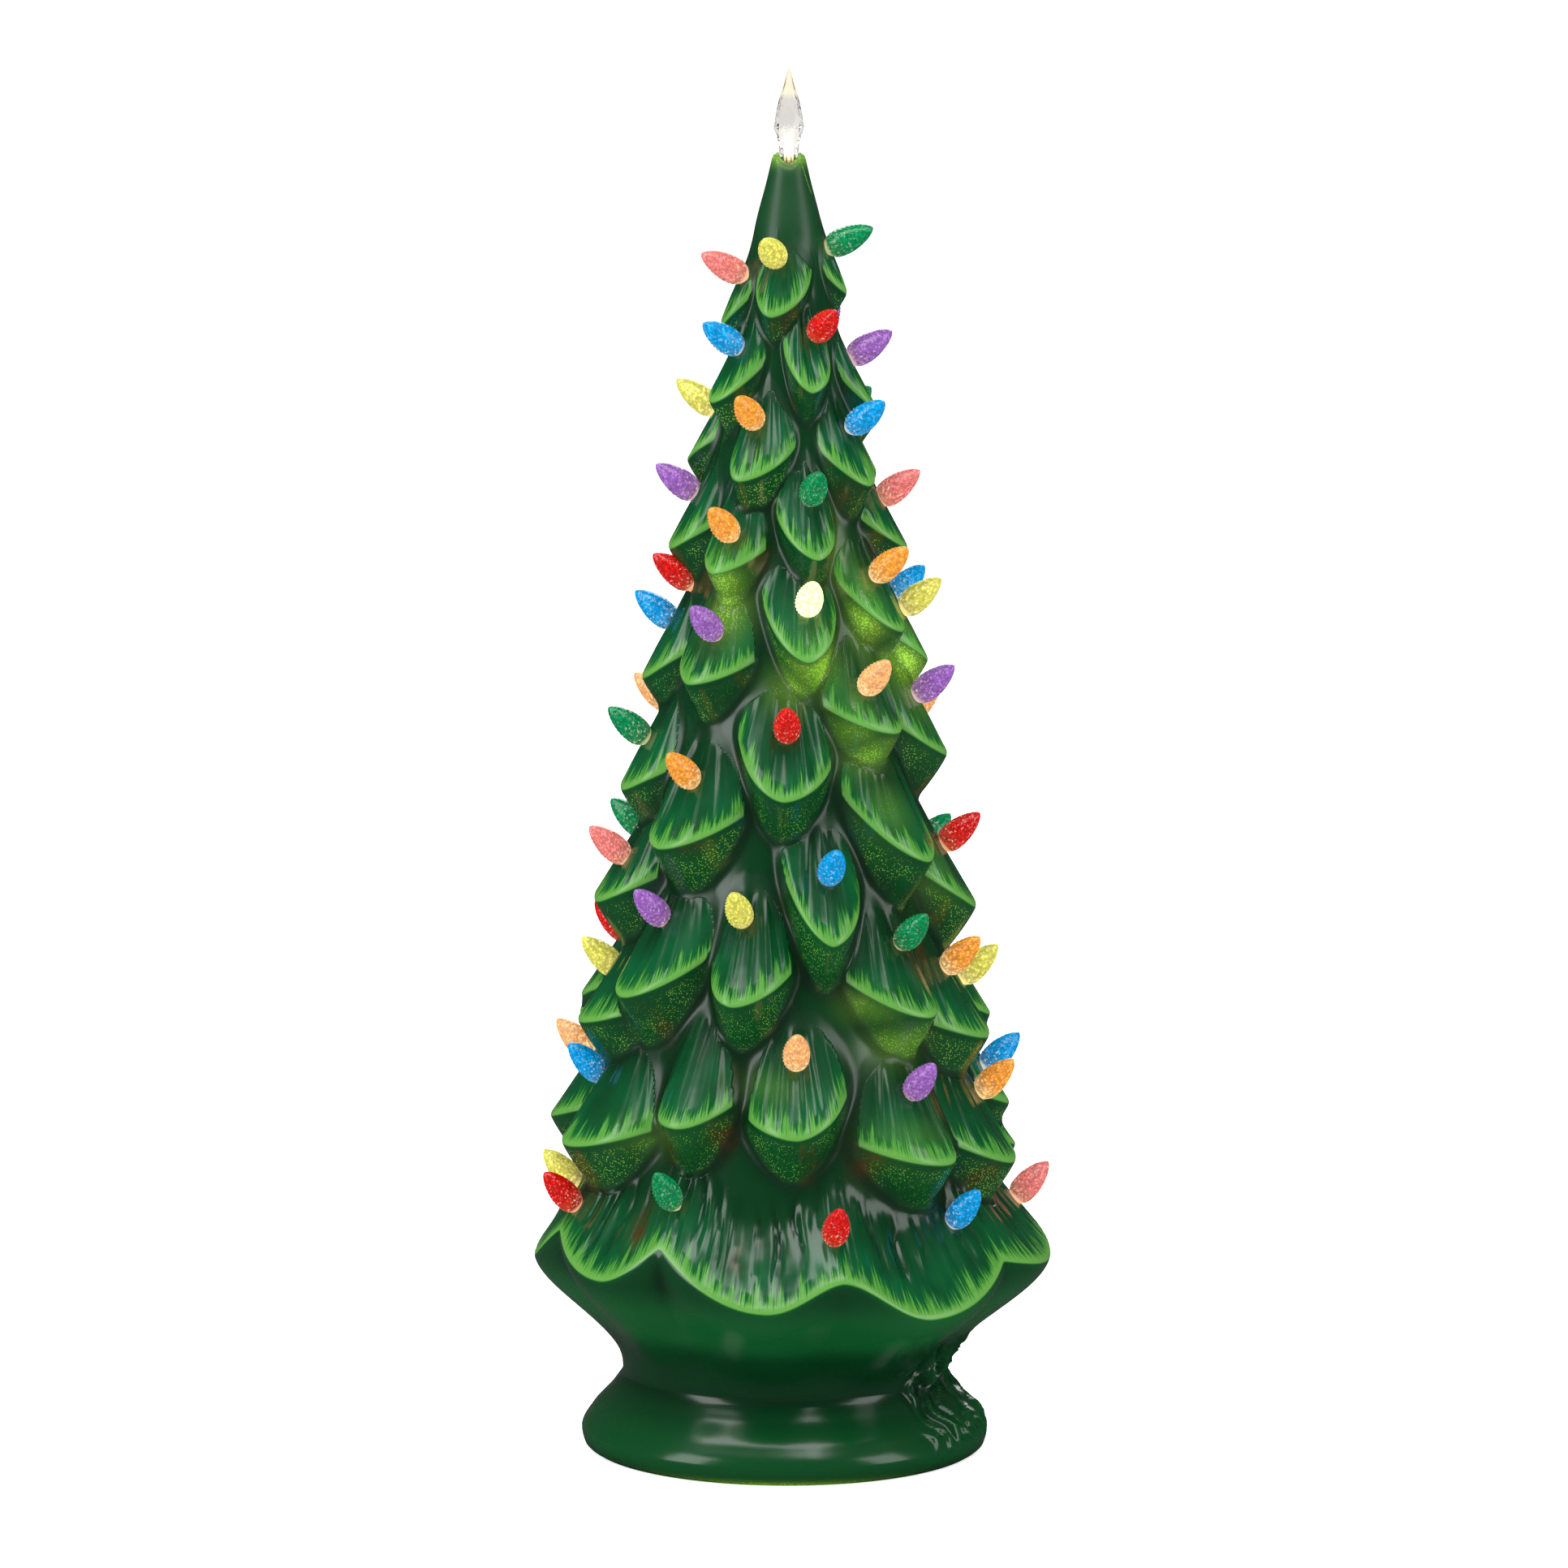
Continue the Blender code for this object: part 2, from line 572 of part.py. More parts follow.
def string_stops(bulbs):
    """Azimuth and height where a string's wire passes each of its bulbs, from the top down."""
    stops = []
    for az, z, _ in bulbs:
        base, axis = bulb_frame(az, z)
        at = base - axis * peg_length(az, z, WIRE_INSET)
        stops.append((math.degrees(math.atan2(at.x, -at.y)), at.z))
    return sorted(stops, key=lambda stop: -stop[1])


def on_wall(az, z):
    return point_at(az, float(cavity_radius(z)) - WIRE_INSET, z)


def string_path(bulbs):
    """Points of a string's wire, which follows the wall past each bulb down to the harness."""
    stops = string_stops(bulbs)
    points = [on_wall(stops[0][0], stops[0][1] + 0.004)]
    for (az, z), (next_az, next_z) in zip(stops, stops[1:] + [(stops[-1][0], STRING_LEAVES_WALL)]):
        if abs(next_az - az) > 180:
            next_az += math.copysign(360, az)
        for share in (0.0, 1 / 3, 2 / 3):
            points.append(on_wall(az + (next_az - az) * share, z + (next_z - z) * share))
    points.append(on_wall(stops[-1][0], STRING_LEAVES_WALL))
    return points


def light_string(name, bulbs, finish, with_bulbs):
    """A wire with a lamp behind each bulb, or with the bulbs themselves on it."""
    obj = add_object(name, wire_mesh(name, string_path(bulbs)), finish)
    pieces = []
    for az, z, _ in bulbs:
        base, axis = bulb_frame(az, z)
        reach = peg_length(az, z, WIRE_INSET)
        if with_bulbs:
            pieces.append(bulb_mesh(name + "_bulb", az, z, reach + WIRE_RADIUS / 2))
            continue
        start = base - axis * (reach + WIRE_RADIUS / 2)
        length = reach - peg_length(az, z, PEG_STICKS_IN) - FIT_GAP + WIRE_RADIUS / 2
        pieces.append(turned(name + "_led", ((0, 0), (LED_RADIUS, 0), (LED_RADIUS, length), (0, length)), 6,
                             along(start, axis)))
    boolean(obj, add_object(name + "_lamps", joined(name + "_lamps", pieces)), "UNION")
    return obj


def wire_harness(strings, finish):
    """The plug on the board and the wires from it up to the end of every string."""
    x, y = BOARD_CENTRE
    low, top = PLUG_LOW, PLUG_LOW + PLUG_SIZE[2]
    box = ((x - PLUG_SIZE[0] / 2, y - PLUG_SIZE[1] / 2, low), (x + PLUG_SIZE[0] / 2, y + PLUG_SIZE[1] / 2, top))
    obj = add_object("wire_harness", blocks("wire_harness", [box]), finish)
    wires = []
    for name, bulbs in strings.items():
        column, row = PLUG_PLACES[name]
        end_x, end_y = x + column * PLUG_PITCH[0], y + row * PLUG_PITCH[1]
        start = on_wall(string_stops(bulbs)[-1][0], STRING_LEAVES_WALL - FIT_GAP)
        wires.append(wire_mesh(name, (start, (end_x, end_y, top + 0.008), (end_x, end_y, top - 0.001))))
    boolean(obj, add_object("add_wires", joined("add_wires", wires)), "UNION")
    return obj


def tree_shell(finish):
    """The glazed ceramic tree: leaves, skirt, neck and foot in one hollow piece."""
    obj = add_object("tree_shell", body_mesh(), finish)
    fewer = obj.modifiers.new("Fewer faces", "DECIMATE")
    fewer.ratio = KEPT_TRIANGLES / (2 * AROUND * UPWARDS)
    heights = [-0.004, 0.0] + [z for z, _ in BODY_PROFILE[1:-1]] + [TREE_TOP - 0.006, TREE_TOP + 0.004]
    profile = [(0.0, heights[0])] + [(float(cavity_radius(max(z, 0.0))), z) for z in heights] + [(0.0, heights[-1])]
    boolean(obj, add_object("cut_hollow", turned("cut_hollow", profile, 40)), "DIFFERENCE")
    lugs = []
    for az in LUG_AZIMUTHS:
        mesh = blocks("lug", [((-LUG_WIDTH / 2, -LUG_OUTER, PLATE_TOP + FIT_GAP), (LUG_WIDTH / 2, -LUG_INNER, LUG_TOP))])
        mesh.transform(Matrix.Rotation(math.radians(az), 4, "Z"))
        lugs.append(mesh)
    boolean(obj, add_object("add_lugs", joined("add_lugs", lugs)), "UNION")
    cutters = []
    for az in LUG_AZIMUTHS:
        place = Matrix.Translation(point_at(az, SCREW_RING, 0.0))
        cutters.append(turned("cut", ((0, 0.004), (SCREW_RADIUS + FIT_GAP, 0.004),
                                      (SCREW_RADIUS + FIT_GAP, SCREW_TOP + FIT_GAP), (0, SCREW_TOP + FIT_GAP)), 12, place))
    for az, z, _ in EVERY_BULB:
        cutters.append(bulb_mesh("cut", az, z, peg_length(az, z, PEG_STICKS_IN) + SEAT_RUNS_ON, FIT_GAP))
    boolean(obj, add_object("cut_seats", joined("cut_seats", cutters)), "DIFFERENCE")
    return obj


def crown_bulb(finish):
    """The clear faceted flame at the top, with a bored peg."""
    top = TREE_TOP
    profile = [(0.0, top - CROWN_PEG_LENGTH), (CROWN_PEG_RADIUS, top - CROWN_PEG_LENGTH)]
    profile += [(CROWN_PEG_RADIUS, top + 0.0004)]
    profile += [(radius, top + 0.0008 + height) for height, radius in CROWN_PROFILE]
    obj = add_object("crown_bulb", turned("crown_bulb", profile + [(0.0, top + 0.0385)], CROWN_SIDES), finish)
    bore = ((0, top - CROWN_PEG_LENGTH - 0.002), (CROWN_BORE_RADIUS, top - CROWN_PEG_LENGTH - 0.002),
            (CROWN_BORE_RADIUS, top - CROWN_PEG_LENGTH + CROWN_BORE_DEPTH),
            (0, top - CROWN_PEG_LENGTH + CROWN_BORE_DEPTH))
    boolean(obj, add_object("cut_crown_bore", turned("cut_crown_bore", bore, 8)), "DIFFERENCE")
    return obj


def crown_light(finish):
    """The lamp in the crown bulb and its wire down the middle of the tree."""
    low = TREE_TOP - CROWN_PEG_LENGTH
    high = low + CROWN_BORE_DEPTH - 2 * FIT_GAP
    x, y = BOARD_CENTRE
    top = PLUG_LOW + PLUG_SIZE[2]
    points = [(0, 0, low + 0.002), (0, 0, STRING_LEAVES_WALL), (x, y, top + 0.008), (x, y, top + FIT_GAP)]
    obj = add_object("crown_light", wire_mesh("crown_light", points), finish)
    lamp = ((0, low - 0.004), (LED_RADIUS, low - 0.004), (LED_RADIUS, high - 0.001), (0, high))
    boolean(obj, add_object("crown_light_lamp", turned("crown_light_lamp", lamp, 8)), "UNION")
    return obj


def base_plate(finish):
    """The plate that closes the foot, with the battery case, the hinge blocks and the board's posts."""
    disc = ((0, PLATE_LOW), (PLATE_RADIUS, PLATE_LOW), (PLATE_RADIUS, PLATE_TOP), (0, PLATE_TOP))
    obj = add_object("base_plate", turned("base_plate", disc, 48), finish)
    cx, cy = CASE_CENTRE
    half_x, half_y = CASE_INSIDE[0] / 2, CASE_INSIDE[1] / 2
    outer = ((cx - half_x - CASE_WALL, cy - half_y - CASE_WALL, PLATE_LOW + 0.001),
             (cx + half_x + CASE_WALL, cy + half_y + CASE_WALL, CASE_TOP))
    boolean(obj, add_object("add_case", blocks("add_case", [outer])), "UNION")
    ear_x = DOOR_SIZE[0] / 2 + FIT_GAP
    ears = []
    for side in (-1, 1):
        near, far = sorted((side * (ear_x - 0.0005), side * (ear_x + 0.0045)))
        ears.append(((cx + near, HINGE_Y - 0.003, PLATE_LOW + 0.001), (cx + far, HINGE_Y + 0.003, PLATE_TOP + 0.0025)))
    boolean(obj, add_object("add_ears", blocks("add_ears", ears)), "UNION")
    posts = []
    for sx in (-1, 1):
        for sy in (-1, 1):
            place = Matrix.Translation((BOARD_CENTRE[0] + sx * (BOARD_SIZE[0] / 2 - 0.003),
                                        BOARD_CENTRE[1] + sy * (BOARD_SIZE[1] / 2 - 0.003), 0))
            posts.append(turned("post", ((0, PLATE_LOW + 0.001), (POST_RADIUS, PLATE_LOW + 0.001),
                                         (POST_RADIUS, PLATE_TOP + POST_HEIGHT), (0, PLATE_TOP + POST_HEIGHT)), 8, place))
    boolean(obj, add_object("add_posts", joined("add_posts", posts)), "UNION")
    inside = ((cx - half_x, cy - half_y, PLATE_LOW - 0.002), (cx + half_x, cy + half_y, CASE_TOP - CASE_WALL))
    boolean(obj, add_object("cut_case", blocks("cut_case", [inside])), "DIFFERENCE")
    door = ((cx - ear_x, HINGE_Y - KNUCKLE_RADIUS - FIT_GAP, PLATE_LOW - 0.002),
            (cx + ear_x, cy + DOOR_SIZE[1] / 2 + FIT_GAP, PLATE_LOW + DOOR_THICKNESS + FIT_GAP))
    room = ((cx - ear_x, HINGE_Y - KNUCKLE_RADIUS - FIT_GAP, PLATE_LOW - 0.001),
            (cx + ear_x, HINGE_Y + KNUCKLE_RADIUS + FIT_GAP, HINGE_Z + KNUCKLE_RADIUS + FIT_GAP))
    boolean(obj, add_object("cut_door", blocks("cut_door", [door])), "DIFFERENCE")
    boolean(obj, add_object("cut_knuckle", blocks("cut_knuckle", [room])), "DIFFERENCE")
    cutters = [pin_mesh("cut", FIT_GAP, 6e-4)]
    cutters.append(blocks("cut", [((SWITCH_CENTRE[0] - SLIDER_SIZE[0] / 2 - SLIDER_TRAVEL - FIT_GAP,
                                    SWITCH_CENTRE[1] - SLIDER_SIZE[1] / 2 - FIT_GAP, PLATE_LOW - 0.001),
                                   (SWITCH_CENTRE[0] + SLIDER_SIZE[0] / 2 + SLIDER_TRAVEL + FIT_GAP,
                                    SWITCH_CENTRE[1] + SLIDER_SIZE[1] / 2 + FIT_GAP, PLATE_TOP + 0.001))]))
    for az in LUG_AZIMUTHS:
        place = Matrix.Translation(point_at(az, SCREW_RING, 0.0))
        shank, head = SCREW_RADIUS + FIT_GAP, SCREW_HEAD_RADIUS + FIT_GAP
        shoulder = PLATE_LOW + SCREW_HEAD_HEIGHT + FIT_GAP
        cutters.append(turned("cut", ((0, PLATE_LOW - 0.001), (head, PLATE_LOW - 0.001), (head, shoulder),
                                      (shank, shoulder), (shank, PLATE_TOP + 0.001), (0, PLATE_TOP + 0.001)), 12, place))
    boolean(obj, add_object("cut_plate", joined("cut_plate", cutters)), "DIFFERENCE")
    return obj


def pin_mesh(name, grow=0.0, longer=0.0):
    """The hinge pin, which runs along X."""
    half = DOOR_SIZE[0] / 2 + FIT_GAP + HINGE_ENGAGEMENT + longer
    place = Matrix.Translation((CASE_CENTRE[0], HINGE_Y, HINGE_Z)) @ Matrix.Rotation(math.pi / 2, 4, "Y")
    radius = HINGE_RADIUS + grow
    return turned(name, ((0, -half), (radius, -half), (radius, half), (0, half)), 12, place)


def battery_door(finish):
    """The door under the cells, with a knuckle at the hinge and a catch that sits in the other edge."""
    cx, cy = CASE_CENTRE
    panel = ((cx - DOOR_SIZE[0] / 2, HINGE_Y, PLATE_LOW),
             (cx + DOOR_SIZE[0] / 2, cy + DOOR_SIZE[1] / 2, PLATE_LOW + DOOR_THICKNESS))
    obj = add_object("battery_door", blocks("battery_door", [panel]), finish)
    place = Matrix.Translation((cx, HINGE_Y, HINGE_Z)) @ Matrix.Rotation(math.pi / 2, 4, "Y")
    half = DOOR_SIZE[0] / 2 - 0.0001
    knuckle = ((0, -half), (KNUCKLE_RADIUS, -half), (KNUCKLE_RADIUS, half), (0, half))
    boolean(obj, add_object("add_knuckle", turned("add_knuckle", knuckle, 16, place)), "UNION")
    boolean(obj, add_object("cut_pin", pin_mesh("cut_pin", FIT_GAP, 0.002)), "DIFFERENCE")
    dip = ((cx - LATCH_WIDTH / 2, cy + DOOR_SIZE[1] / 2 - 0.005, PLATE_LOW - 0.001),
           (cx + LATCH_WIDTH / 2, cy + DOOR_SIZE[1] / 2 - 0.002, PLATE_LOW + 0.0008))
    boolean(obj, add_object("cut_grip", blocks("cut_grip", [dip])), "DIFFERENCE")
    return obj


def cell_centre_y(index):
    pitch = 2 * CELL_RADIUS + CELL_GAP
    return CASE_CENTRE[1] + (index - (CELL_COUNT - 1) / 2) * pitch


def cell_turn(index):
    """+1 where a cell's positive end points towards +X."""
    return 1 if index % 2 == 0 else -1


def battery_cell(index, finish):
    """A cell with its raised positive end, lying along X."""
    shift = (SPRING_LENGTH - CONTACT_THICKNESS) / 2 * cell_turn(index)
    place = (Matrix.Translation((CASE_CENTRE[0] + shift, cell_centre_y(index), CELL_Z))
             @ Matrix.Rotation(math.pi / 2 * cell_turn(index), 4, "Y"))
    low = -(CELL_LENGTH + CELL_NUB_LENGTH) / 2
    high = low + CELL_LENGTH
    profile = ((0, low), (CELL_RADIUS - 0.0005, low), (CELL_RADIUS, low + 0.0005), (CELL_RADIUS, high - 0.0005),
               (CELL_RADIUS - 0.0005, high), (CELL_NUB_RADIUS, high), (CELL_NUB_RADIUS, high + CELL_NUB_LENGTH),
               (0, high + CELL_NUB_LENGTH))
    name = "battery_cell_%d" % (index + 1)
    return add_object(name, turned(name, profile, 14, place), finish)


def contact(name, side, cells, finish):
    """A contact strip at one end of the case (side is -1 or +1), with a coil for each cell's flat end."""
    wall_x = CASE_CENTRE[0] + side * (CASE_INSIDE[0] / 2 - FIT_GAP)
    face_x = wall_x - side * CONTACT_THICKNESS
    low_y = min(cell_centre_y(i) for i in cells) - 0.0050
    high_y = max(cell_centre_y(i) for i in cells) + 0.0050
    strip = ((min(wall_x, face_x), low_y, CELL_Z - 0.0050), (max(wall_x, face_x), high_y, CELL_Z + 0.0050))
    obj = add_object(name, blocks(name, [strip]), finish)
    coils = [coil_mesh(name, face_x, -side, i) for i in cells if cell_turn(i) != side]
    if coils:
        boolean(obj, add_object(name + "_coil", joined(name + "_coil", coils)), "UNION")
    return obj


def coil_mesh(name, start_x, towards, index):
    """A conical coil spring that starts in the strip and ends just short of the cell."""
    turns, steps, sides, wire = 3, 24, 4, 0.0004
    made = bmesh.new()
    rings = []
    reach = SPRING_LENGTH - 2 * CONTACT_THICKNESS - wire
    for i in range(steps + 1):
        share = i / steps
        angle = 2 * math.pi * turns * share
        radius = SPRING_RADIUS * (1 - 0.35 * share)
        out = Vector((0, math.cos(angle), math.sin(angle)))
        middle = Vector((start_x + towards * reach * share, cell_centre_y(index), CELL_Z)) + out * radius
        ring = []
        for k in range(sides):
            turn = 2 * math.pi * k / sides
            ring.append(made.verts.new(middle + out * wire * math.cos(turn) + Vector((wire * math.sin(turn), 0, 0))))
        rings.append(ring)
    for low, high in zip(rings, rings[1:]):
        for k in range(sides):
            n = (k + 1) % sides
            made.faces.new((low[k], low[n], high[n], high[k]))
    made.faces.new(rings[0])
    made.faces.new(rings[-1])
    bmesh.ops.recalc_face_normals(made, faces=made.faces)
    mesh = bpy.data.meshes.new(name)
    made.to_mesh(mesh)
    made.free()
    return mesh


def switch_body(finish):
    """The housing on the plate that the slider runs in."""
    x, y = SWITCH_CENTRE
    low = PLATE_TOP + FIT_GAP
    outer = ((x - SWITCH_SIZE[0] / 2, y - SWITCH_SIZE[1] / 2, low),
             (x + SWITCH_SIZE[0] / 2, y + SWITCH_SIZE[1] / 2, low + SWITCH_SIZE[2]))
    obj = add_object("switch_body", blocks("switch_body", [outer]), finish)
    run = SLIDER_FLANGE[0] / 2 + SLIDER_TRAVEL + FIT_GAP
    pocket = ((x - run, y - SLIDER_FLANGE[1] / 2 - FIT_GAP, low - 0.001),
              (x + run, y + SLIDER_FLANGE[1] / 2 + FIT_GAP, low + FIT_GAP + SLIDER_FLANGE[2] + 2 * FIT_GAP))
    boolean(obj, add_object("cut_switch", blocks("cut_switch", [pocket])), "DIFFERENCE")
    return obj


def switch_slider(finish):
    """The slider's stem through the plate and the flange that keeps it in the housing."""
    x, y = SWITCH_CENTRE
    low = PLATE_TOP + 2 * FIT_GAP
    stem = ((x - SLIDER_SIZE[0] / 2, y - SLIDER_SIZE[1] / 2, PLATE_LOW - SLIDER_STANDS_OUT),
            (x + SLIDER_SIZE[0] / 2, y + SLIDER_SIZE[1] / 2, low + 0.0005))
    obj = add_object("switch_slider", blocks("switch_slider", [stem]), finish)
    flange = ((x - SLIDER_FLANGE[0] / 2, y - SLIDER_FLANGE[1] / 2, low),
              (x + SLIDER_FLANGE[0] / 2, y + SLIDER_FLANGE[1] / 2, low + SLIDER_FLANGE[2]))
    boolean(obj, add_object("add_flange", blocks("add_flange", [flange])), "UNION")
    return obj


def circuit_board(finish):
    """The board on its posts, with a chip and a resistor."""
    x, y = BOARD_CENTRE
    low = PLATE_TOP + POST_HEIGHT + FIT_GAP
    top = low + BOARD_SIZE[2]
    panel = ((x - BOARD_SIZE[0] / 2, y - BOARD_SIZE[1] / 2, low), (x + BOARD_SIZE[0] / 2, y + BOARD_SIZE[1] / 2, top))
    obj = add_object("circuit_board", blocks("circuit_board", [panel]), finish)
    parts = [((x + 0.0136, y - 0.003, low + 0.0005), (x + 0.0164, y + 0.003, top + 0.0014)),
             ((x - 0.0160, y - 0.003, low + 0.0005), (x - 0.0140, y + 0.002, top + 0.0010))]
    boolean(obj, add_object("add_chips", blocks("add_chips", parts)), "UNION")
    return obj


def screw(index, az, finish):
    place = Matrix.Translation(point_at(az, SCREW_RING, 0.0))
    low = PLATE_LOW + FIT_GAP / 2
    profile = ((0, low), (SCREW_HEAD_RADIUS, low), (SCREW_HEAD_RADIUS, low + SCREW_HEAD_HEIGHT),
               (SCREW_RADIUS, low + SCREW_HEAD_HEIGHT), (SCREW_RADIUS, SCREW_TOP - 0.001), (0, SCREW_TOP))
    name = "base_screw_%d" % index
    obj = add_object(name, turned(name, profile, 12, place), finish)
    at = point_at(az, SCREW_RING, 0.0)
    for arm, (wide, deep) in (("x", (CROSS_LENGTH, CROSS_WIDTH)), ("y", (CROSS_WIDTH, CROSS_LENGTH))):
        slot = ((at.x - wide / 2, at.y - deep / 2, low - 0.001), (at.x + wide / 2, at.y + deep / 2, low + CROSS_DEPTH))
        cutter = "cut_%s_%s" % (name, arm)
        boolean(obj, add_object(cutter, blocks(cutter, [slot])), "DIFFERENCE")
    return obj


def build():
    clear_scene()
    glaze = material("green_glaze", (0.012, 0.075, 0.03), 0.12)
    clear = material("clear_bulb", (0.9, 0.9, 0.86), 0.05)
    black = material("black_plastic", (0.03, 0.03, 0.03), 0.5)
    steel = material("steel", (0.6, 0.6, 0.62), 0.3, 1.0)
    cell = material("cell_sleeve", (0.5, 0.5, 0.52), 0.35)
    board = material("board_green", (0.02, 0.2, 0.08), 0.5)
    wire = material("wire_green", (0.01, 0.12, 0.04), 0.45)
    tints = {colour: material("bulb_" + colour, value, 0.2) for colour, value in BULB_COLOURS.items()}
    tree_shell(glaze)
    for index, (az, z, colour) in enumerate(FRONT_BULBS, 1):
        name = "bulb_%02d_%s" % (index, colour)
        peg = peg_length(az, z, PEG_STICKS_IN)
        add_object(name, bulb_mesh(name, az, z, peg), tints[colour])
    strings = {
        "front_left": [bulb for bulb in FRONT_BULBS if bulb[0] < -30],
        "front_middle": [bulb for bulb in FRONT_BULBS if -30 <= bulb[0] < 25],
        "front_right": [bulb for bulb in FRONT_BULBS if bulb[0] >= 25],
    }
    for name, bulbs in strings.items():
        light_string("lamps_" + name, bulbs, wire, False)
    for name, bulbs in SIDE_STRINGS.items():
        light_string("string_" + name, bulbs, wire, True)
    wire_harness({**strings, **SIDE_STRINGS}, wire)
    crown_bulb(clear)
    crown_light(wire)
    base_plate(black)
    battery_door(black)
    add_object("hinge_pin", pin_mesh("hinge_pin"), steel)
    for index in range(CELL_COUNT):
        battery_cell(index, cell)
    contact("contact_start", -1, (0,), steel)
    contact("contact_left_bridge", -1, (1, 2), steel)
    contact("contact_right_bridge", 1, (0, 1), steel)
    contact("contact_end", 1, (2,), steel)
    switch_body(black)
    switch_slider(black)
    circuit_board(board)
    for index, az in enumerate(LUG_AZIMUTHS, 1):
        screw(index, az, steel)


build()
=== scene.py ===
"""The looks of a light-up ceramic Christmas tree, dressed on its CAD frame. Metres, +Z up, front at -Y."""

import math

import bmesh
import bpy
import numpy as np
from mathutils import Matrix, Vector


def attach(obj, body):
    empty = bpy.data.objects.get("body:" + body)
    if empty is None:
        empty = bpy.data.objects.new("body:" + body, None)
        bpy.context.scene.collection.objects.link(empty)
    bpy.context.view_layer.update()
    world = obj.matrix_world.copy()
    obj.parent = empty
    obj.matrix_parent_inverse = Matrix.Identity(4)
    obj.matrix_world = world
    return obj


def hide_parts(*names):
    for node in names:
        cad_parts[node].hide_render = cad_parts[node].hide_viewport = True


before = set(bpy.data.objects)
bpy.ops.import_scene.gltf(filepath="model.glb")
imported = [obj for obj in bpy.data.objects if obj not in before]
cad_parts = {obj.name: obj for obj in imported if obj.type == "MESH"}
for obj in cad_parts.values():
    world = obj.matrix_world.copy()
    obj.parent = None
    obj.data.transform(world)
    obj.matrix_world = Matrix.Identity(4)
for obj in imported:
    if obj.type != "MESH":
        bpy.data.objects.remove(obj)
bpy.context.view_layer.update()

# Camera. A long lens from the front and a little above, as the photograph was taken: the whole frame is
# 1932 pixels square and the tree fills nine tenths of its height.
LENS = 206.0
LOOKS_DOWN = 8.548
LEANS = -0.20
FRAME_PIXELS = 1932
TREE_OFF_CENTRE = 9.0


def put_in_scene(name, data):
    thing = bpy.data.objects.new(name, data)
    bpy.context.scene.collection.objects.link(thing)
    return thing


camera_data = bpy.data.cameras.new("camera")
camera_data.lens = LENS
camera_data.sensor_width = 36.0
camera_data.clip_end = 50.0
camera_data.shift_x = -TREE_OFF_CENTRE / FRAME_PIXELS
camera = put_in_scene("camera", camera_data)
camera.location = (0.0, -3.9, 0.882)
camera.rotation_euler = (math.radians(90 - LOOKS_DOWN), math.radians(LEANS), 0.0)
bpy.context.scene.camera = camera

# Glazed tree. One hollow slip-cast piece of fired clay: rings of pointed leaves over a wavy skirt, a neck
# and a flared foot. It's dipped in deep green glaze, and the leaf edges are dry-brushed light green, wet at
# the very lip and in broken streaks above it.
TREE_TOP = 0.572
RIM_DIP = 0.0044
RIM_RISE = 0.0018
WALL = 0.0045
TOP_HOLE_RADIUS = 0.0046
NECK_HEIGHT = 0.036
# Height and radius of the creases between the leaves, from the foot to the top rim
BODY_PROFILE = (
    (0.000, 0.0858), (0.002, 0.0886), (0.008, 0.0900), (0.016, 0.0858), (0.027, 0.0762),
    (0.036, 0.0713), (0.046, 0.0728), (0.060, 0.0822), (0.080, 0.0915), (0.100, 0.0910),
    (0.117, 0.0880), (0.140, 0.0835), (0.175, 0.0765), (0.226, 0.0655), (0.275, 0.0575),
    (0.333, 0.0500), (0.388, 0.0405), (0.440, 0.0310), (0.488, 0.0215), (0.520, 0.0175),
    (0.541, 0.0142), (0.562, 0.0089), (0.572, 0.0066),
)
# Height and radius that the leaf tips reach
REACH_PROFILE = (
    (0.070, 0.1155), (0.095, 0.1145), (0.143, 0.1035), (0.191, 0.0930), (0.244, 0.0840),
    (0.301, 0.0730), (0.345, 0.0635), (0.402, 0.0530), (0.464, 0.0395), (0.514, 0.0255),
)
LEFT_REACH = 0.0024
LOW_LEAVES_TO = 0.26
# Height of a leaf tip and the length of the leaf above it
LENGTH_PROFILE = (
    (0.080, 0.046), (0.140, 0.060), (0.240, 0.062), (0.350, 0.056), (0.470, 0.050), (0.510, 0.042),
)
LEAF_SWELL_POWER = 1.2
ROOT_DEPTH = 0.0030
LEAF_ROUNDNESS = 2.3
EDGE_FALL = 0.72
EDGE_STEEPNESS = 7.0
LEAF_TAPER = 0.60
# Soft folds that fan out down each leaf
FOLD_DEPTH = 0.0009
FOLD_TURNS = 8.5
LIP_POWER = 1.6
LIP_FOLLOW = 0.5
LIP_ROUNDING = 0.0016
CREASE_ROUNDING = 0.0022
UNDERSIDE_DROP = 0.013
UNDERSIDE_POWER = 1.2
UNDERSIDE_SPAN = 0.020
# The skirt under the leaves
SKIRT_RADIUS = 0.1145
SKIRT_LEAN = 0.0034
SKIRT_CREASE = 0.0085
SKIRT_LENGTH = 0.043
SKIRT_SWELL_POWER = 1.6
LOBE_CUSP = 0.9
LOBE_ROUND = 2.0
BOWL_POWER = 0.92
CREASE_FADE_POWER = 3.5

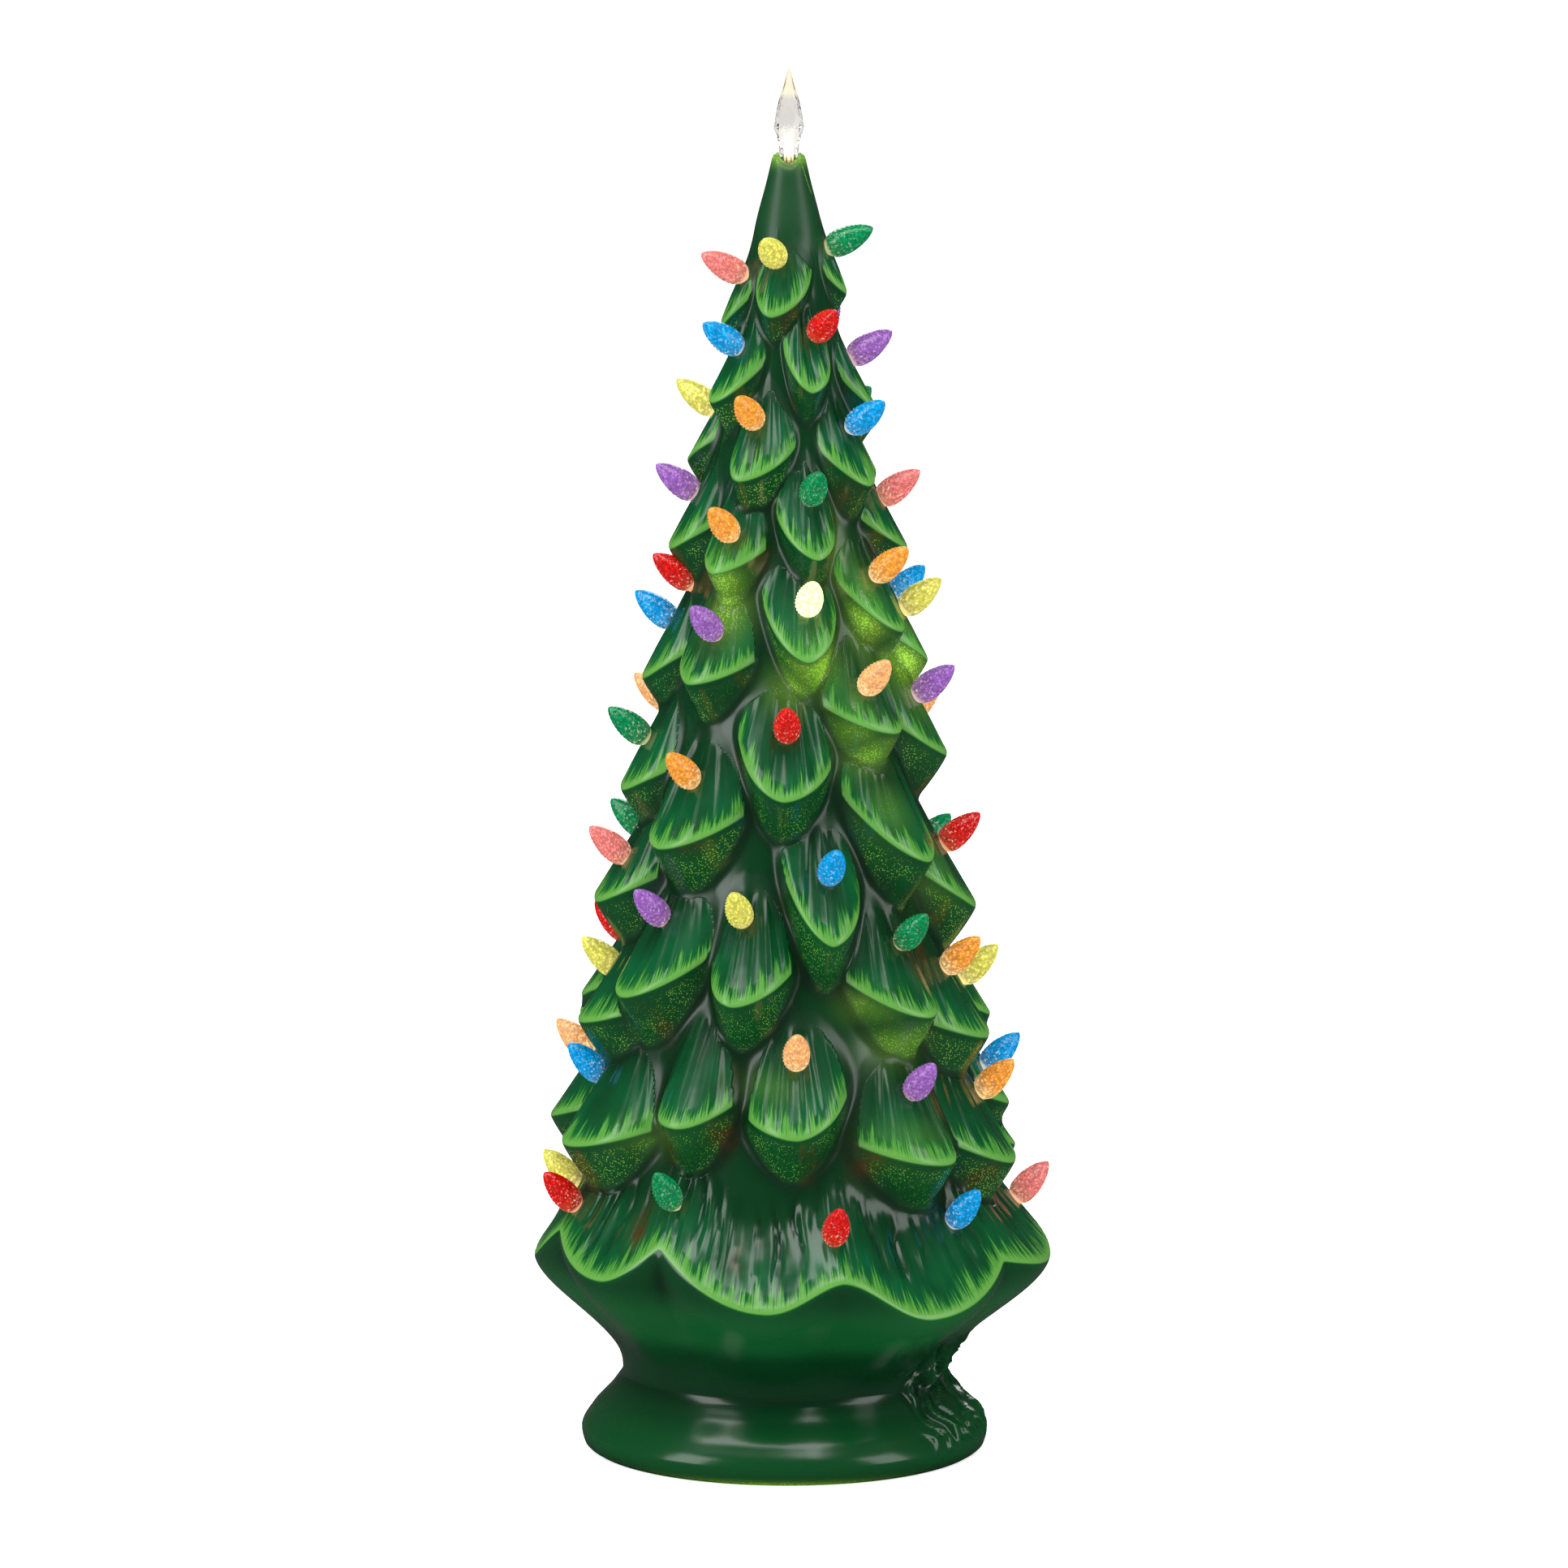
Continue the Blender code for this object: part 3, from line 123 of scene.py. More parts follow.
# Each leaf on the front: azimuth and height of its tip, the degrees that its lip runs to the left and to the
# right, and how far the lip climbs to each end in mm
FRONT_LEAVES = (
    (-16, 0.505, 34, 58, 15, 22),
    (17, 0.473, 25, 33, 21, 18), (-60, 0.467, 28, 38, 16, 20),
    (-28, 0.435, 18, 37, 13, 16), (50, 0.432, 28, 26, 19, 16),
    (15, 0.402, 25, 18, 21, 14), (-37, 0.395, 18, 26, 13, 12),
    (9, 0.3585, 26, 21, 29, 20), (-43, 0.347, 20, 29, 15, 12), (58, 0.3685, 31, 18, 27, 13),
    (-1, 0.2995, 24, 23, 28, 15), (45, 0.326, 30, 15, 14, 10),
    (-46, 0.276, 18, 30, 14, 17), (52, 0.270, 30, 17, 34, 15),
    (14, 0.238, 18, 17, 38, 22),
    (-52, 0.211, 15, 27, 12, 23), (-15, 0.212, 13, 19, 11, 15), (44, 0.204, 25, 12, 19, 8),
    (73, 0.189, 25, 14, 13, 10),
    (-74, 0.195, 15, 25, 8, 12),
    (3, 0.156, 16, 18, 8, 19), (-28, 0.159, 13, 14, 4, 11), (-66, 0.143, 15, 26, 6, 12),
    (43, 0.141, 24, 11, 11, 6), (73, 0.134, 26, 14, 19, 9),
)
# The leaves at the two sides, which stand by themselves
SIDE_LEAVES = (
    (84, 0.513, 34, 34, 13, 14), (-84, 0.499, 34, 34, 18, 18),
    (86, 0.460, 28, 30, 22, 16), (-104, 0.438, 26, 24, 18, 14),
    (86, 0.401, 32, 26, 18, 14), (-78, 0.402, 25, 25, 11, 14), (-116, 0.395, 18, 20, 12, 12),
    (94, 0.351, 22, 24, 16, 18), (-86, 0.344, 28, 24, 22, 16),
    (84, 0.311, 28, 20, 20, 16), (-79, 0.296, 22, 22, 12, 14), (-118, 0.290, 18, 20, 14, 14),
    (87, 0.243, 26, 20, 24, 16), (-78, 0.247, 28, 22, 12, 16),
    (104, 0.190, 18, 18, 12, 12), (-105, 0.198, 17, 18, 12, 12),
    (104, 0.150, 17, 18, 10, 10), (-97, 0.146, 18, 18, 8, 10),
)
# The lobes of the skirt: azimuth and height of each lobe's tip, then of the crease on its right, and how deep
# that crease is
SKIRT_LOBES = (
    (-174, 0.079, -155, 0.098, 0.9), (-134, 0.080, -113, 0.100, 1.0), (-90, 0.086, -70, 0.104, 0.8),
    (-47, 0.0895, -31, 0.107, 0.9), (-4, 0.0825, 13, 0.0955, 0.3), (34, 0.077, 60, 0.0945, 0.9),
    (82, 0.088, 102, 0.100, 0.9), (121, 0.079, 141, 0.098, 0.7), (161, 0.078, 175, 0.092, 0.5),
)
BACK_LEAF_DROP = 0.004
RIM_ROUND = 0.0034
RIM_EDGE = 0.0046
GROOVE_DEPTH = 0.0026
# The carving at the foot: middle and half width in degrees, how high it runs, and how far it stands out
BARK_AT = 70
BARK_HALF = 27
BARK_TOP = 0.058
BARK_RIDGE = 0.0044
BARK_HOLLOW = 0.0016
RIDGE_SPACING = 7.5


def smooth_curve(points, at):
    """A smooth curve through (position, value) points, without overshoot."""
    x = np.array([p[0] for p in points])
    y = np.array([p[1] for p in points])
    step = np.diff(x)
    slope = np.diff(y) / step
    tangent = np.zeros(len(x))
    tangent[0], tangent[-1] = slope[0], slope[-1]
    same_way = slope[:-1] * slope[1:] > 0
    harmonic = 2 * slope[:-1] * slope[1:] / np.where(same_way, slope[:-1] + slope[1:], 1.0)
    tangent[1:-1] = np.where(same_way, harmonic, 0.0)
    at = np.clip(np.asarray(at, float), x[0], x[-1])
    i = np.clip(np.searchsorted(x, at, side="right") - 1, 0, len(x) - 2)
    s = (at - x[i]) / step[i]
    start = y[i] * (1 + 2 * s) * (1 - s) ** 2 + tangent[i] * step[i] * s * (1 - s) ** 2
    end = y[i + 1] * s * s * (3 - 2 * s) + tangent[i + 1] * step[i] * s * s * (s - 1)
    return start + end


def body_radius(z):
    return smooth_curve(BODY_PROFILE, z)


def smooth_min(a, b, width):
    h = np.clip(0.5 + 0.5 * (b - a) / width, 0.0, 1.0)
    return b + (a - b) * h - width * h * (1 - h)


def smooth_max(a, b, width):
    return -smooth_min(-a, -b, width)


def skirt_surface(theta, z):
    """The skirt's radius, and the height of its wavy lip."""
    az = np.degrees(theta)
    tips = sorted(SKIRT_LOBES)
    edges = []
    for tip_az, tip, valley_az, valley, depth in tips:
        edges.append((tip_az, tip, 0.0))
        edges.append((valley_az, valley, depth))
    lip = np.full(np.shape(az), tips[0][1])
    crease = np.zeros(np.shape(az))
    edges.append((edges[0][0] + 360, edges[0][1], 0.0))
    for (start_az, start, start_depth), (end_az, end, end_depth) in zip(edges, edges[1:]):
        turn = (az - start_az) % 360
        inside = turn < (end_az - start_az)
        share = np.clip(turn / (end_az - start_az), 0.0, 1.0)
        power = LOBE_ROUND - (LOBE_ROUND - LOBE_CUSP) * (start_depth or end_depth)
        if start_depth:
            wave = 1 - np.sin(share * math.pi / 2) ** power
            lip = np.where(inside, end + (start - end) * wave, lip)
            crease = np.where(inside, wave * start_depth, crease)
        else:
            wave = 1 - np.cos(share * math.pi / 2) ** power
            lip = np.where(inside, start + (end - start) * wave, lip)
            crease = np.where(inside, wave * end_depth, crease)
    full_radius = SKIRT_RADIUS + SKIRT_LEAN * np.sin(theta)
    edge_radius = full_radius - SKIRT_CREASE * crease ** 1.5
    along = np.clip((z - lip) / SKIRT_LENGTH, -0.4, 1.0)
    top_side = body_radius(z) + (edge_radius - body_radius(lip)) * (1 - along) ** SKIRT_SWELL_POWER
    down = np.clip((lip - z) / (lip - NECK_HEIGHT), 0.0, 1.0)
    bowl_edge = full_radius - SKIRT_CREASE * crease ** 1.5 * (1 - down) ** CREASE_FADE_POWER
    inward = (down * down * (3 - 2 * down)) ** BOWL_POWER
    bowl = bowl_edge - (bowl_edge - body_radius(NECK_HEIGHT)) * inward
    bowl = np.where(z < NECK_HEIGHT, bowl - (NECK_HEIGHT - z) * 0.3, bowl) + np.maximum(z - lip, 0.0) * 3
    return smooth_min(top_side, bowl, LIP_ROUNDING), lip


def leaf_window(leaf, theta, z):
    """The rows and columns of the grid that a leaf can reach."""
    az, tip, left, right, climb_left, climb_right = leaf
    offset = np.degrees((theta - math.radians(az) + math.pi) % (2 * math.pi) - math.pi)
    columns = np.flatnonzero((offset > -1.35 * left) & (offset < 1.35 * right))
    length = float(smooth_curve(LENGTH_PROFILE, tip))
    rows = np.flatnonzero((z > tip - 0.030) & (z < tip + length + 0.022))
    return rows, columns


def reach_radius(az, tip):
    """Radius that the tip of a leaf reaches, a little more for the low leaves on the left."""
    left = max(-math.sin(math.radians(az)), 0.0) if tip < LOW_LEAVES_TO else 0.0
    return float(smooth_curve(REACH_PROFILE, tip)) + LEFT_REACH * left


def leaf_surface(leaf, theta, z):
    """A leaf's radius, and where each point lies on it: mm across, and mm above the lip."""
    az, tip, left, right, climb_left, climb_right = leaf
    offset = (theta - math.radians(az) + math.pi) % (2 * math.pi) - math.pi
    half = np.where(offset < 0, math.radians(left), math.radians(right))
    climb = np.where(offset < 0, climb_left, climb_right) * 0.001
    length = float(smooth_curve(LENGTH_PROFILE, tip))
    reach = reach_radius(az, tip) - float(body_radius(tip))
    share = np.abs(offset) / half
    lip = tip + climb * np.minimum(share, 1.25) ** LIP_POWER
    narrowing = 1 - LEAF_TAPER * np.clip((z - lip) / length, 0.0, 1.0) ** 1.4
    side = np.where(offset < 0, -share, share) / narrowing

    def top_side(height):
        above = (height - tip - LIP_FOLLOW * (lip - tip)) / length
        along = np.clip(above, -0.5, 1.0)
        narrow = 1 - LEAF_TAPER * np.clip((height - lip) / length, 0.0, 1.0) ** 1.4
        across = share / narrow
        fall = EDGE_FALL * np.minimum(across, 1.0) ** LEAF_ROUNDNESS
        fall = fall + EDGE_STEEPNESS * np.maximum(across - 0.97, 0.0)
        turned = np.where(offset < 0, -across, across)
        folds = FOLD_DEPTH * np.sin(turned * FOLD_TURNS + az) * np.clip(1.1 - across, 0.0, 1.0)
        folds = folds * np.clip(4 * along * (1 - along) + 0.25, 0.0, 1.0)
        swell = (reach + ROOT_DEPTH) * (1 - along) ** LEAF_SWELL_POWER * (1 - fall)
        return body_radius(height) - ROOT_DEPTH + swell + folds

    below = lip - z
    falling = UNDERSIDE_DROP * (np.maximum(below, 0.0) / UNDERSIDE_SPAN) ** UNDERSIDE_POWER
    falling = falling - np.maximum(-below, 0.0)
    radius = smooth_min(top_side(z), top_side(lip) - falling, LIP_ROUNDING)
    tip_radius = reach_radius(az, tip)
    slope = climb * LIP_POWER * np.minimum(share, 1.0) ** (LIP_POWER - 1) / (half * tip_radius)
    slant = np.sqrt(1 + slope ** 2)
    above_lip = np.where(z > lip, (z - lip) * 1000 / np.sqrt(slant), (z - lip) * 1000)
    return radius, side * half * tip_radius * 1000, above_lip


COLUMNS = 448
ROWS = 540
# Stands for the height above a lip where there is no leaf
NO_LEAF_MM = 60.0
theta = np.linspace(-math.pi, math.pi, COLUMNS, endpoint=False)
row_z = np.linspace(0.0, 1.0, ROWS)
top = TREE_TOP + RIM_RISE - RIM_DIP * np.cos(theta) ** 2
z_grid = row_z[:, None] * top[None, :]
theta_grid = np.broadcast_to(theta[None, :], z_grid.shape)
radius = body_radius(z_grid)
across_mm = theta_grid * radius * 1000
above_mm = np.full(z_grid.shape, NO_LEAF_MM)
leaf_number = np.zeros(z_grid.shape)

skirt, skirt_lip = skirt_surface(theta_grid, z_grid)
on_skirt = skirt > radius
radius = smooth_max(radius, skirt, CREASE_ROUNDING)
above_mm = np.where(on_skirt | (z_grid < skirt_lip), (z_grid - skirt_lip) * 1000, above_mm)
across_mm = np.where(on_skirt, theta_grid * SKIRT_RADIUS * 1000, across_mm)

leaves = list(SIDE_LEAVES)
for leaf in FRONT_LEAVES:
    az, tip, left, right, climb_left, climb_right = leaf
    leaves += [leaf, (180 - az, tip - BACK_LEAF_DROP, right, left, climb_right, climb_left)]
for number, leaf in enumerate(leaves, 1):
    rows, columns = leaf_window(leaf, theta, row_z * TREE_TOP)
    part = np.ix_(rows, columns)
    leaf_radius, leaf_across, leaf_above = leaf_surface(leaf, theta_grid[part], z_grid[part])
    wins = leaf_radius > radius[part]
    radius[part] = smooth_max(radius[part], leaf_radius, CREASE_ROUNDING)
    across_mm[part] = np.where(wins, leaf_across, across_mm[part])
    above_mm[part] = np.where(wins, leaf_above, above_mm[part])
    leaf_number[part] = np.where(wins, number, leaf_number[part])


def blurred(grid, passes):
    """The grid smoothed over its neighbours; it closes round the tree."""
    for _ in range(passes):
        grid = (np.roll(grid, 1, 1) + 2 * grid + np.roll(grid, -1, 1)) / 4
        padded = np.pad(grid, ((1, 1), (0, 0)), "edge")
        grid = (padded[:-2] + 2 * padded[1:-1] + padded[2:]) / 4
    return grid


# Where one leaf meets the next: the clay fills the crease softly, and no brushed colour crosses it
seam = np.zeros(radius.shape, bool)
for step in ((0, 1), (0, -1), (1, 0), (-1, 0)):
    seam |= np.abs(leaf_number - np.roll(leaf_number, step, (0, 1))) > 0.5
seam[0] = seam[-1] = False
seam = np.clip(blurred(seam.astype(float), 1) * 2.0, 0, 1)
softness = np.clip(blurred(seam, 12) * 2.4, 0, 1)
radius = radius * (1 - softness) + blurred(radius, 12) * softness

# Grooves pressed with a thumb run down the skirt from under the leaves towards its lip
az_grid = np.degrees(theta_grid)
skirt_above = (z_grid - skirt_lip) * 1000
sweep = az_grid * 1.05 + 1.9 * np.sin(az_grid * 0.085 + 0.7)
sweep = sweep + 0.055 * skirt_above * np.sin(az_grid * 0.052 + 2.0)
grooves = np.abs(np.sin(sweep * 0.5 + 0.35 * np.sin(skirt_above * 0.21 + az_grid * 0.3))) ** 0.7 - 0.65
reach_down = np.clip((skirt_above - 4) / 9, 0, 1) * np.clip((44 - skirt_above) / 16, 0, 1)
uneven = 0.65 + 0.35 * np.sin(az_grid * 0.23 + 1.3)
radius = radius + np.where(leaf_number < 0.5, GROOVE_DEPTH * grooves * uneven * reach_down * on_skirt, 0.0)

# Gnarled bark at the right of the foot, as ridges that wander up from the rim
bark = np.clip((BARK_HALF - np.abs(az_grid - BARK_AT)) / 12, 0, 1) * np.clip((z_grid - 0.007) / 0.008, 0, 1)
bark = bark * np.clip((BARK_TOP - z_grid) / 0.014, 0, 1)
flow = az_grid / RIDGE_SPACING + 0.55 * np.sin(z_grid * 150 + az_grid * 0.07)
flow = flow + 0.22 * np.sin(z_grid * 430 - az_grid * 0.16)
veins = 1 - np.abs(np.sin(flow * math.pi))
hollows = np.sin(z_grid * 260 + az_grid * 0.21) * np.sin(az_grid * 0.26 + z_grid * 60)
radius = radius + bark * (BARK_RIDGE * veins ** 1.8 + BARK_HOLLOW * hollows - 0.0012)

# The rim rounds over to the hole, which leaves two soft horns at its sides
near_rim = np.clip((z_grid - top[None, :] + RIM_ROUND) / RIM_ROUND, 0, 1)
radius = radius + (RIM_EDGE - radius) * (1 - np.sqrt(1 - near_rim ** 2)) * 0.9

relief = np.clip((radius - blurred(radius, 24)) / 0.0030, -1, 1)
# Undersides of the leaves, faded out softly where they meet the next leaf
underside = blurred(np.clip((-above_mm - 1.0) / 3.0, 0, 1) * (leaf_number > 0.5), 4)

# Where a lamp inside shines through the clay: azimuth, height, spread in degrees and metres, strength
GLOW_SPOTS = (
    (-33, 0.392, 9, 0.012, 0.9), (-34, 0.376, 12, 0.012, 1.0), (43, 0.376, 9, 0.020, 0.8),
    (33, 0.400, 8, 0.018, 0.5), (79, 0.352, 16, 0.022, 1.0), (56, 0.350, 9, 0.012, 0.8),
    (16, 0.356, 14, 0.014, 0.8), (1, 0.345, 12, 0.010, 0.6), (30, 0.330, 9, 0.014, 0.6),
    (37, 0.315, 12, 0.010, 0.6), (42, 0.292, 9, 0.012, 0.4), (27, 0.208, 9, 0.008, 0.4),
    (-5, 0.176, 9, 0.007, 0.3), (-42, 0.151, 10, 0.008, 0.3), (35, 0.152, 12, 0.008, 0.3),
    (38, 0.190, 12, 0.010, 0.45), (70, 0.260, 12, 0.012, 0.3),
    (120, 0.350, 16, 0.018, 0.8), (160, 0.290, 16, 0.016, 0.6), (-150, 0.340, 16, 0.018, 0.8),
    (-120, 0.240, 14, 0.014, 0.6), (175, 0.210, 16, 0.014, 0.5), (-165, 0.400, 14, 0.014, 0.6),
    (140, 0.150, 16, 0.012, 0.5), (-145, 0.140, 16, 0.012, 0.5),
)


def spread(spots):
    """How strong the spots are at each place, each fading out softly from its middle."""
    grid = np.zeros(radius.shape)
    for az, z, wide, high, strength in spots:
        off = (az_grid - az + 180) % 360 - 180
        grid = np.maximum(grid, strength * np.exp(-(off / wide) ** 2 - ((z_grid - z) / high) ** 2))
    return grid


glow = np.maximum(spread(GLOW_SPOTS), np.exp(-((z_grid - TREE_TOP) / 0.004) ** 2))
# Light also leaks from under the front of the foot, and along a fine crack at the rim. The crack's azimuth,
# how many degrees it turns for each metre down, half its width in degrees, and its length
CRACK_AT = 42
CRACK_SLANT = 1400
CRACK_HALF = 2.6
CRACK_LENGTH = 0.016
glow = np.maximum(glow, 1.3 * np.exp(-(z_grid / 0.0020) ** 2 - (az_grid / 34) ** 2))
crack = np.abs(az_grid - CRACK_AT - (TREE_TOP - z_grid) * CRACK_SLANT)
glow = np.maximum(glow, np.clip(1.2 - crack / CRACK_HALF, 0, 1) * (z_grid > TREE_TOP - CRACK_LENGTH))

# Painted warm reflections, where the glaze mirrors red and orange bulbs nearby: azimuth, height, spread and
# strength
WARM_SPOTS = (
    (-69, 0.131, 5, 0.010, 0.8), (-40, 0.112, 3, 0.008, 0.8), (-34, 0.149, 3, 0.006, 0.7),
    (-18, 0.153, 3, 0.007, 0.7), (-12, 0.102, 2, 0.007, 0.5), (7, 0.144, 2, 0.008, 0.5),
    (23, 0.141, 4, 0.009, 0.45), (63, 0.128, 4, 0.007, 0.7), (-43, 0.197, 3, 0.007, 0.5),
    (46, 0.229, 3, 0.010, 0.6), (60, 0.229, 3, 0.010, 0.6), (47, 0.326, 4, 0.006, 0.7),
    (-34, 0.281, 5, 0.006, 0.6), (-8, 0.503, 9, 0.005, 0.7), (41, 0.427, 5, 0.006, 0.6),
    (58, 0.428, 5, 0.005, 0.6), (-18, 0.400, 6, 0.007, 0.6), (22, 0.396, 5, 0.006, 0.5),
    (-20, 0.445, 4, 0.006, 0.5), (62, 0.400, 5, 0.006, 0.5),
)
warm = spread(WARM_SPOTS)
x_grid, y_grid = radius * np.sin(theta_grid), -radius * np.cos(theta_grid)
outside = np.stack([x_grid, y_grid, z_grid], axis=-1).reshape(-1, 3)

# The inside is plain: one wall in from the creases, from the rim of the top hole down to the open foot
INSIDE_COLUMNS = 112
inside_z = np.concatenate([[TREE_TOP - 0.0035], np.linspace(TREE_TOP - 0.012, 0.0, 40)])
inside_radius = np.maximum(body_radius(inside_z) - WALL, TOP_HOLE_RADIUS)
inside_theta = theta[::COLUMNS // INSIDE_COLUMNS]
inside = np.stack([
    inside_radius[:, None] * np.sin(inside_theta)[None, :],
    -inside_radius[:, None] * np.cos(inside_theta)[None, :],
    np.broadcast_to(inside_z[:, None], (len(inside_z), INSIDE_COLUMNS)),
], axis=-1).reshape(-1, 3)


def faces_between(first, rows, columns):
    """Faces between rows of points that close round the tree; first is the number of the first point."""
    made = []
    for row in range(rows - 1):
        for k in range(columns):
            n = (k + 1) % columns
            a, b = first + row * columns, first + (row + 1) * columns
            made.append((a + k, a + n, b + n, b + k))
    return made


first_inside = ROWS * COLUMNS
faces = faces_between(0, ROWS, COLUMNS) + faces_between(first_inside, len(inside_z), INSIDE_COLUMNS)
ratio = COLUMNS // INSIDE_COLUMNS
for outer_start, inner_start, flip in (
    ((ROWS - 1) * COLUMNS, first_inside, False),
    (0, first_inside + (len(inside_z) - 1) * INSIDE_COLUMNS, True),
):
    for k in range(INSIDE_COLUMNS):
        n = (k + 1) % INSIDE_COLUMNS
        rim = [outer_start + (k * ratio + i) % COLUMNS for i in range(ratio + 1)]
        face = rim + [inner_start + n, inner_start + k]
        faces.append(tuple(face[::-1]) if flip else tuple(face))

mesh = bpy.data.meshes.new("tree_glazed")
mesh.from_pydata(np.concatenate([outside, inside]).tolist(), [], faces)
mesh.validate()
mesh.shade_smooth()
tree = put_in_scene("tree_glazed", mesh)

place = mesh.attributes.new("leaf_place", "FLOAT_VECTOR", "POINT")
values = np.zeros((len(mesh.vertices), 3), np.float32)
values[:, 1] = NO_LEAF_MM
values[:first_inside] = np.stack([across_mm, above_mm, leaf_number], axis=-1).reshape(-1, 3)
place.data.foreach_set("vector", values.reshape(-1))
for name, grid in {"raised": relief, "seam": seam, "crease": softness, "under": underside, "glow": glow,
                   "warm": warm}.items():
    values = np.zeros(len(mesh.vertices), np.float32)
    values[:first_inside] = grid.reshape(-1)
    mesh.attributes.new(name, "FLOAT", "POINT").data.foreach_set("value", values)


def node(tree, kind, inputs=(), **settings):
    """A shader node with its settings, and the values or sockets that go into it."""
    made = tree.nodes.new("ShaderNode" + kind)
    for name, value in settings.items():
        setattr(made, name, value)
    for socket, value in dict(inputs).items():
        if isinstance(value, bpy.types.NodeSocket):
            tree.links.new(value, made.inputs[socket])
        else:
            made.inputs[socket].default_value = value
    return made


def maths(tree, operation, a, b=0.0, clamp=False):
    return node(tree, "Math", {0: a, 1: b}, operation=operation, use_clamp=clamp).outputs[0]


def times(tree, a, b):
    return maths(tree, "MULTIPLY", a, b)


def plus(tree, a, b):
    return maths(tree, "ADD", a, b)


def painted(tree, name):
    """A value that the mesh holds at each of its points."""
    return node(tree, "Attribute", attribute_name=name).outputs["Fac"]


def own_place(tree):
    return node(tree, "TexCoord").outputs["Object"]


def height_of(tree, at):
    return node(tree, "SeparateXYZ", {0: at}).outputs[2]


def bumped(tree, height, strength, depth, **more):
    """The normal over bumps of a depth in metres."""
    return node(tree, "Bump", {"Strength": strength, "Distance": depth, "Height": height, **more}).outputs[0]


def fitted(tree, value, low, high, to_low=0.0, to_high=1.0):
    """The value with low..high fitted smoothly to to_low..to_high, and held there beyond."""
    inputs = {"Value": value, "From Min": low, "From Max": high, "To Min": to_low, "To Max": to_high}
    return node(tree, "MapRange", inputs, interpolation_type="SMOOTHSTEP").outputs[0]


def mixed(tree, share, a, b, blend="MIX"):
    made = node(tree, "Mix", {0: share, 6: a, 7: b}, data_type="RGBA", blend_type=blend)
    return made.outputs[2]


def noise(tree, at, scale, detail=3.0, roughness=0.5):
    inputs = {"Vector": at, "Scale": scale, "Detail": detail, "Roughness": roughness}
    return node(tree, "TexNoise", inputs).outputs["Fac"]


def new_material(name):
    """A material with one Principled shader, and its node tree."""
    material = bpy.data.materials.new(name)
    material.use_nodes = True
    tree = material.node_tree
    tree.nodes.clear()
    surface = node(tree, "BsdfPrincipled")
    node(tree, "OutputMaterial", {"Surface": surface.outputs[0]})
    return material, tree, surface


def feed(tree, surface, **inputs):
    """Sets or links the shader's inputs; an underscore in a name stands for a space."""
    for name, value in inputs.items():
        socket = surface.inputs[name.replace("_", " ")]
        if isinstance(value, bpy.types.NodeSocket):
            tree.links.new(value, socket)
        else:
            socket.default_value = value


DARK_GLAZE = (0.0018, 0.044, 0.0115, 1)
DEEP_GLAZE = (0.0012, 0.022, 0.0060, 1)
FOOT_GLAZE = (0.0045, 0.092, 0.021, 1)
UNDERSIDE = (0.0045, 0.085, 0.018, 1)
EMERALD = (0.0012, 0.105, 0.030, 1)
BRUSHED_EDGE = (0.010, 0.135, 0.018, 1)
BRUSHED = (0.078, 0.295, 0.038, 1)
WET_LIP = (0.120, 0.340, 0.058, 1)
SHINE_THROUGH = (0.200, 0.420, 0.022, 1)
FLECKS_AND_SHINE = (0.30, 0.58, 0.050, 1)
WARM_BULB_REFLECTION = (0.070, 0.020, 0.003, 1)
STROKE_MM = 10.0
TUFT_MM = 8.0
STROKE_FADE_MM = 9.0
FLECK_SCALE = 1050.0
glaze, nodes, surface = new_material("green_glaze")
at = own_place(nodes)
place = node(nodes, "Attribute", attribute_name="leaf_place").outputs["Vector"]
across, above, number = node(nodes, "SeparateXYZ", {0: place}).outputs
raised = painted(nodes, "raised")
on_leaf = fitted(nodes, painted(nodes, "seam"), 0.30, 0.02)
glow = painted(nodes, "glow")


def along_leaf(width, length):
    """A place to read noise from that is drawn out along each leaf, in mm."""
    return node(nodes, "CombineXYZ", {
        0: maths(nodes, "DIVIDE", across, width),
        1: maths(nodes, "DIVIDE", above, length),
        2: times(nodes, number, 37.0),
    }).outputs[0]


# Brushed strokes run up from the lip, some longer than others
strokes = fitted(nodes, noise(nodes, along_leaf(0.9, 22.0), 1.0, 4.0, 0.7), 0.32, 0.68)
tufts = fitted(nodes, noise(nodes, along_leaf(5.0, 60.0), 1.0, 2.0), 0.35, 0.65)
patches = fitted(nodes, noise(nodes, at, 42.0, 2.0), 0.35, 0.65)
length = plus(nodes, times(nodes, strokes, STROKE_MM), times(nodes, tufts, TUFT_MM))
brushed = fitted(nodes, maths(nodes, "SUBTRACT", plus(nodes, length, 0.5), above), 0.0, STROKE_FADE_MM)
lip_edge = plus(nodes, times(nodes, strokes, 3.6), 1.4)
lip = fitted(nodes, maths(nodes, "SUBTRACT", above, lip_edge), 2.5, -2.5)
light = maths(nodes, "MAXIMUM", times(nodes, brushed, 0.78), times(nodes, lip, 0.95))
light = times(nodes, light, times(nodes, on_leaf, fitted(nodes, above, -1.6, -0.3)))
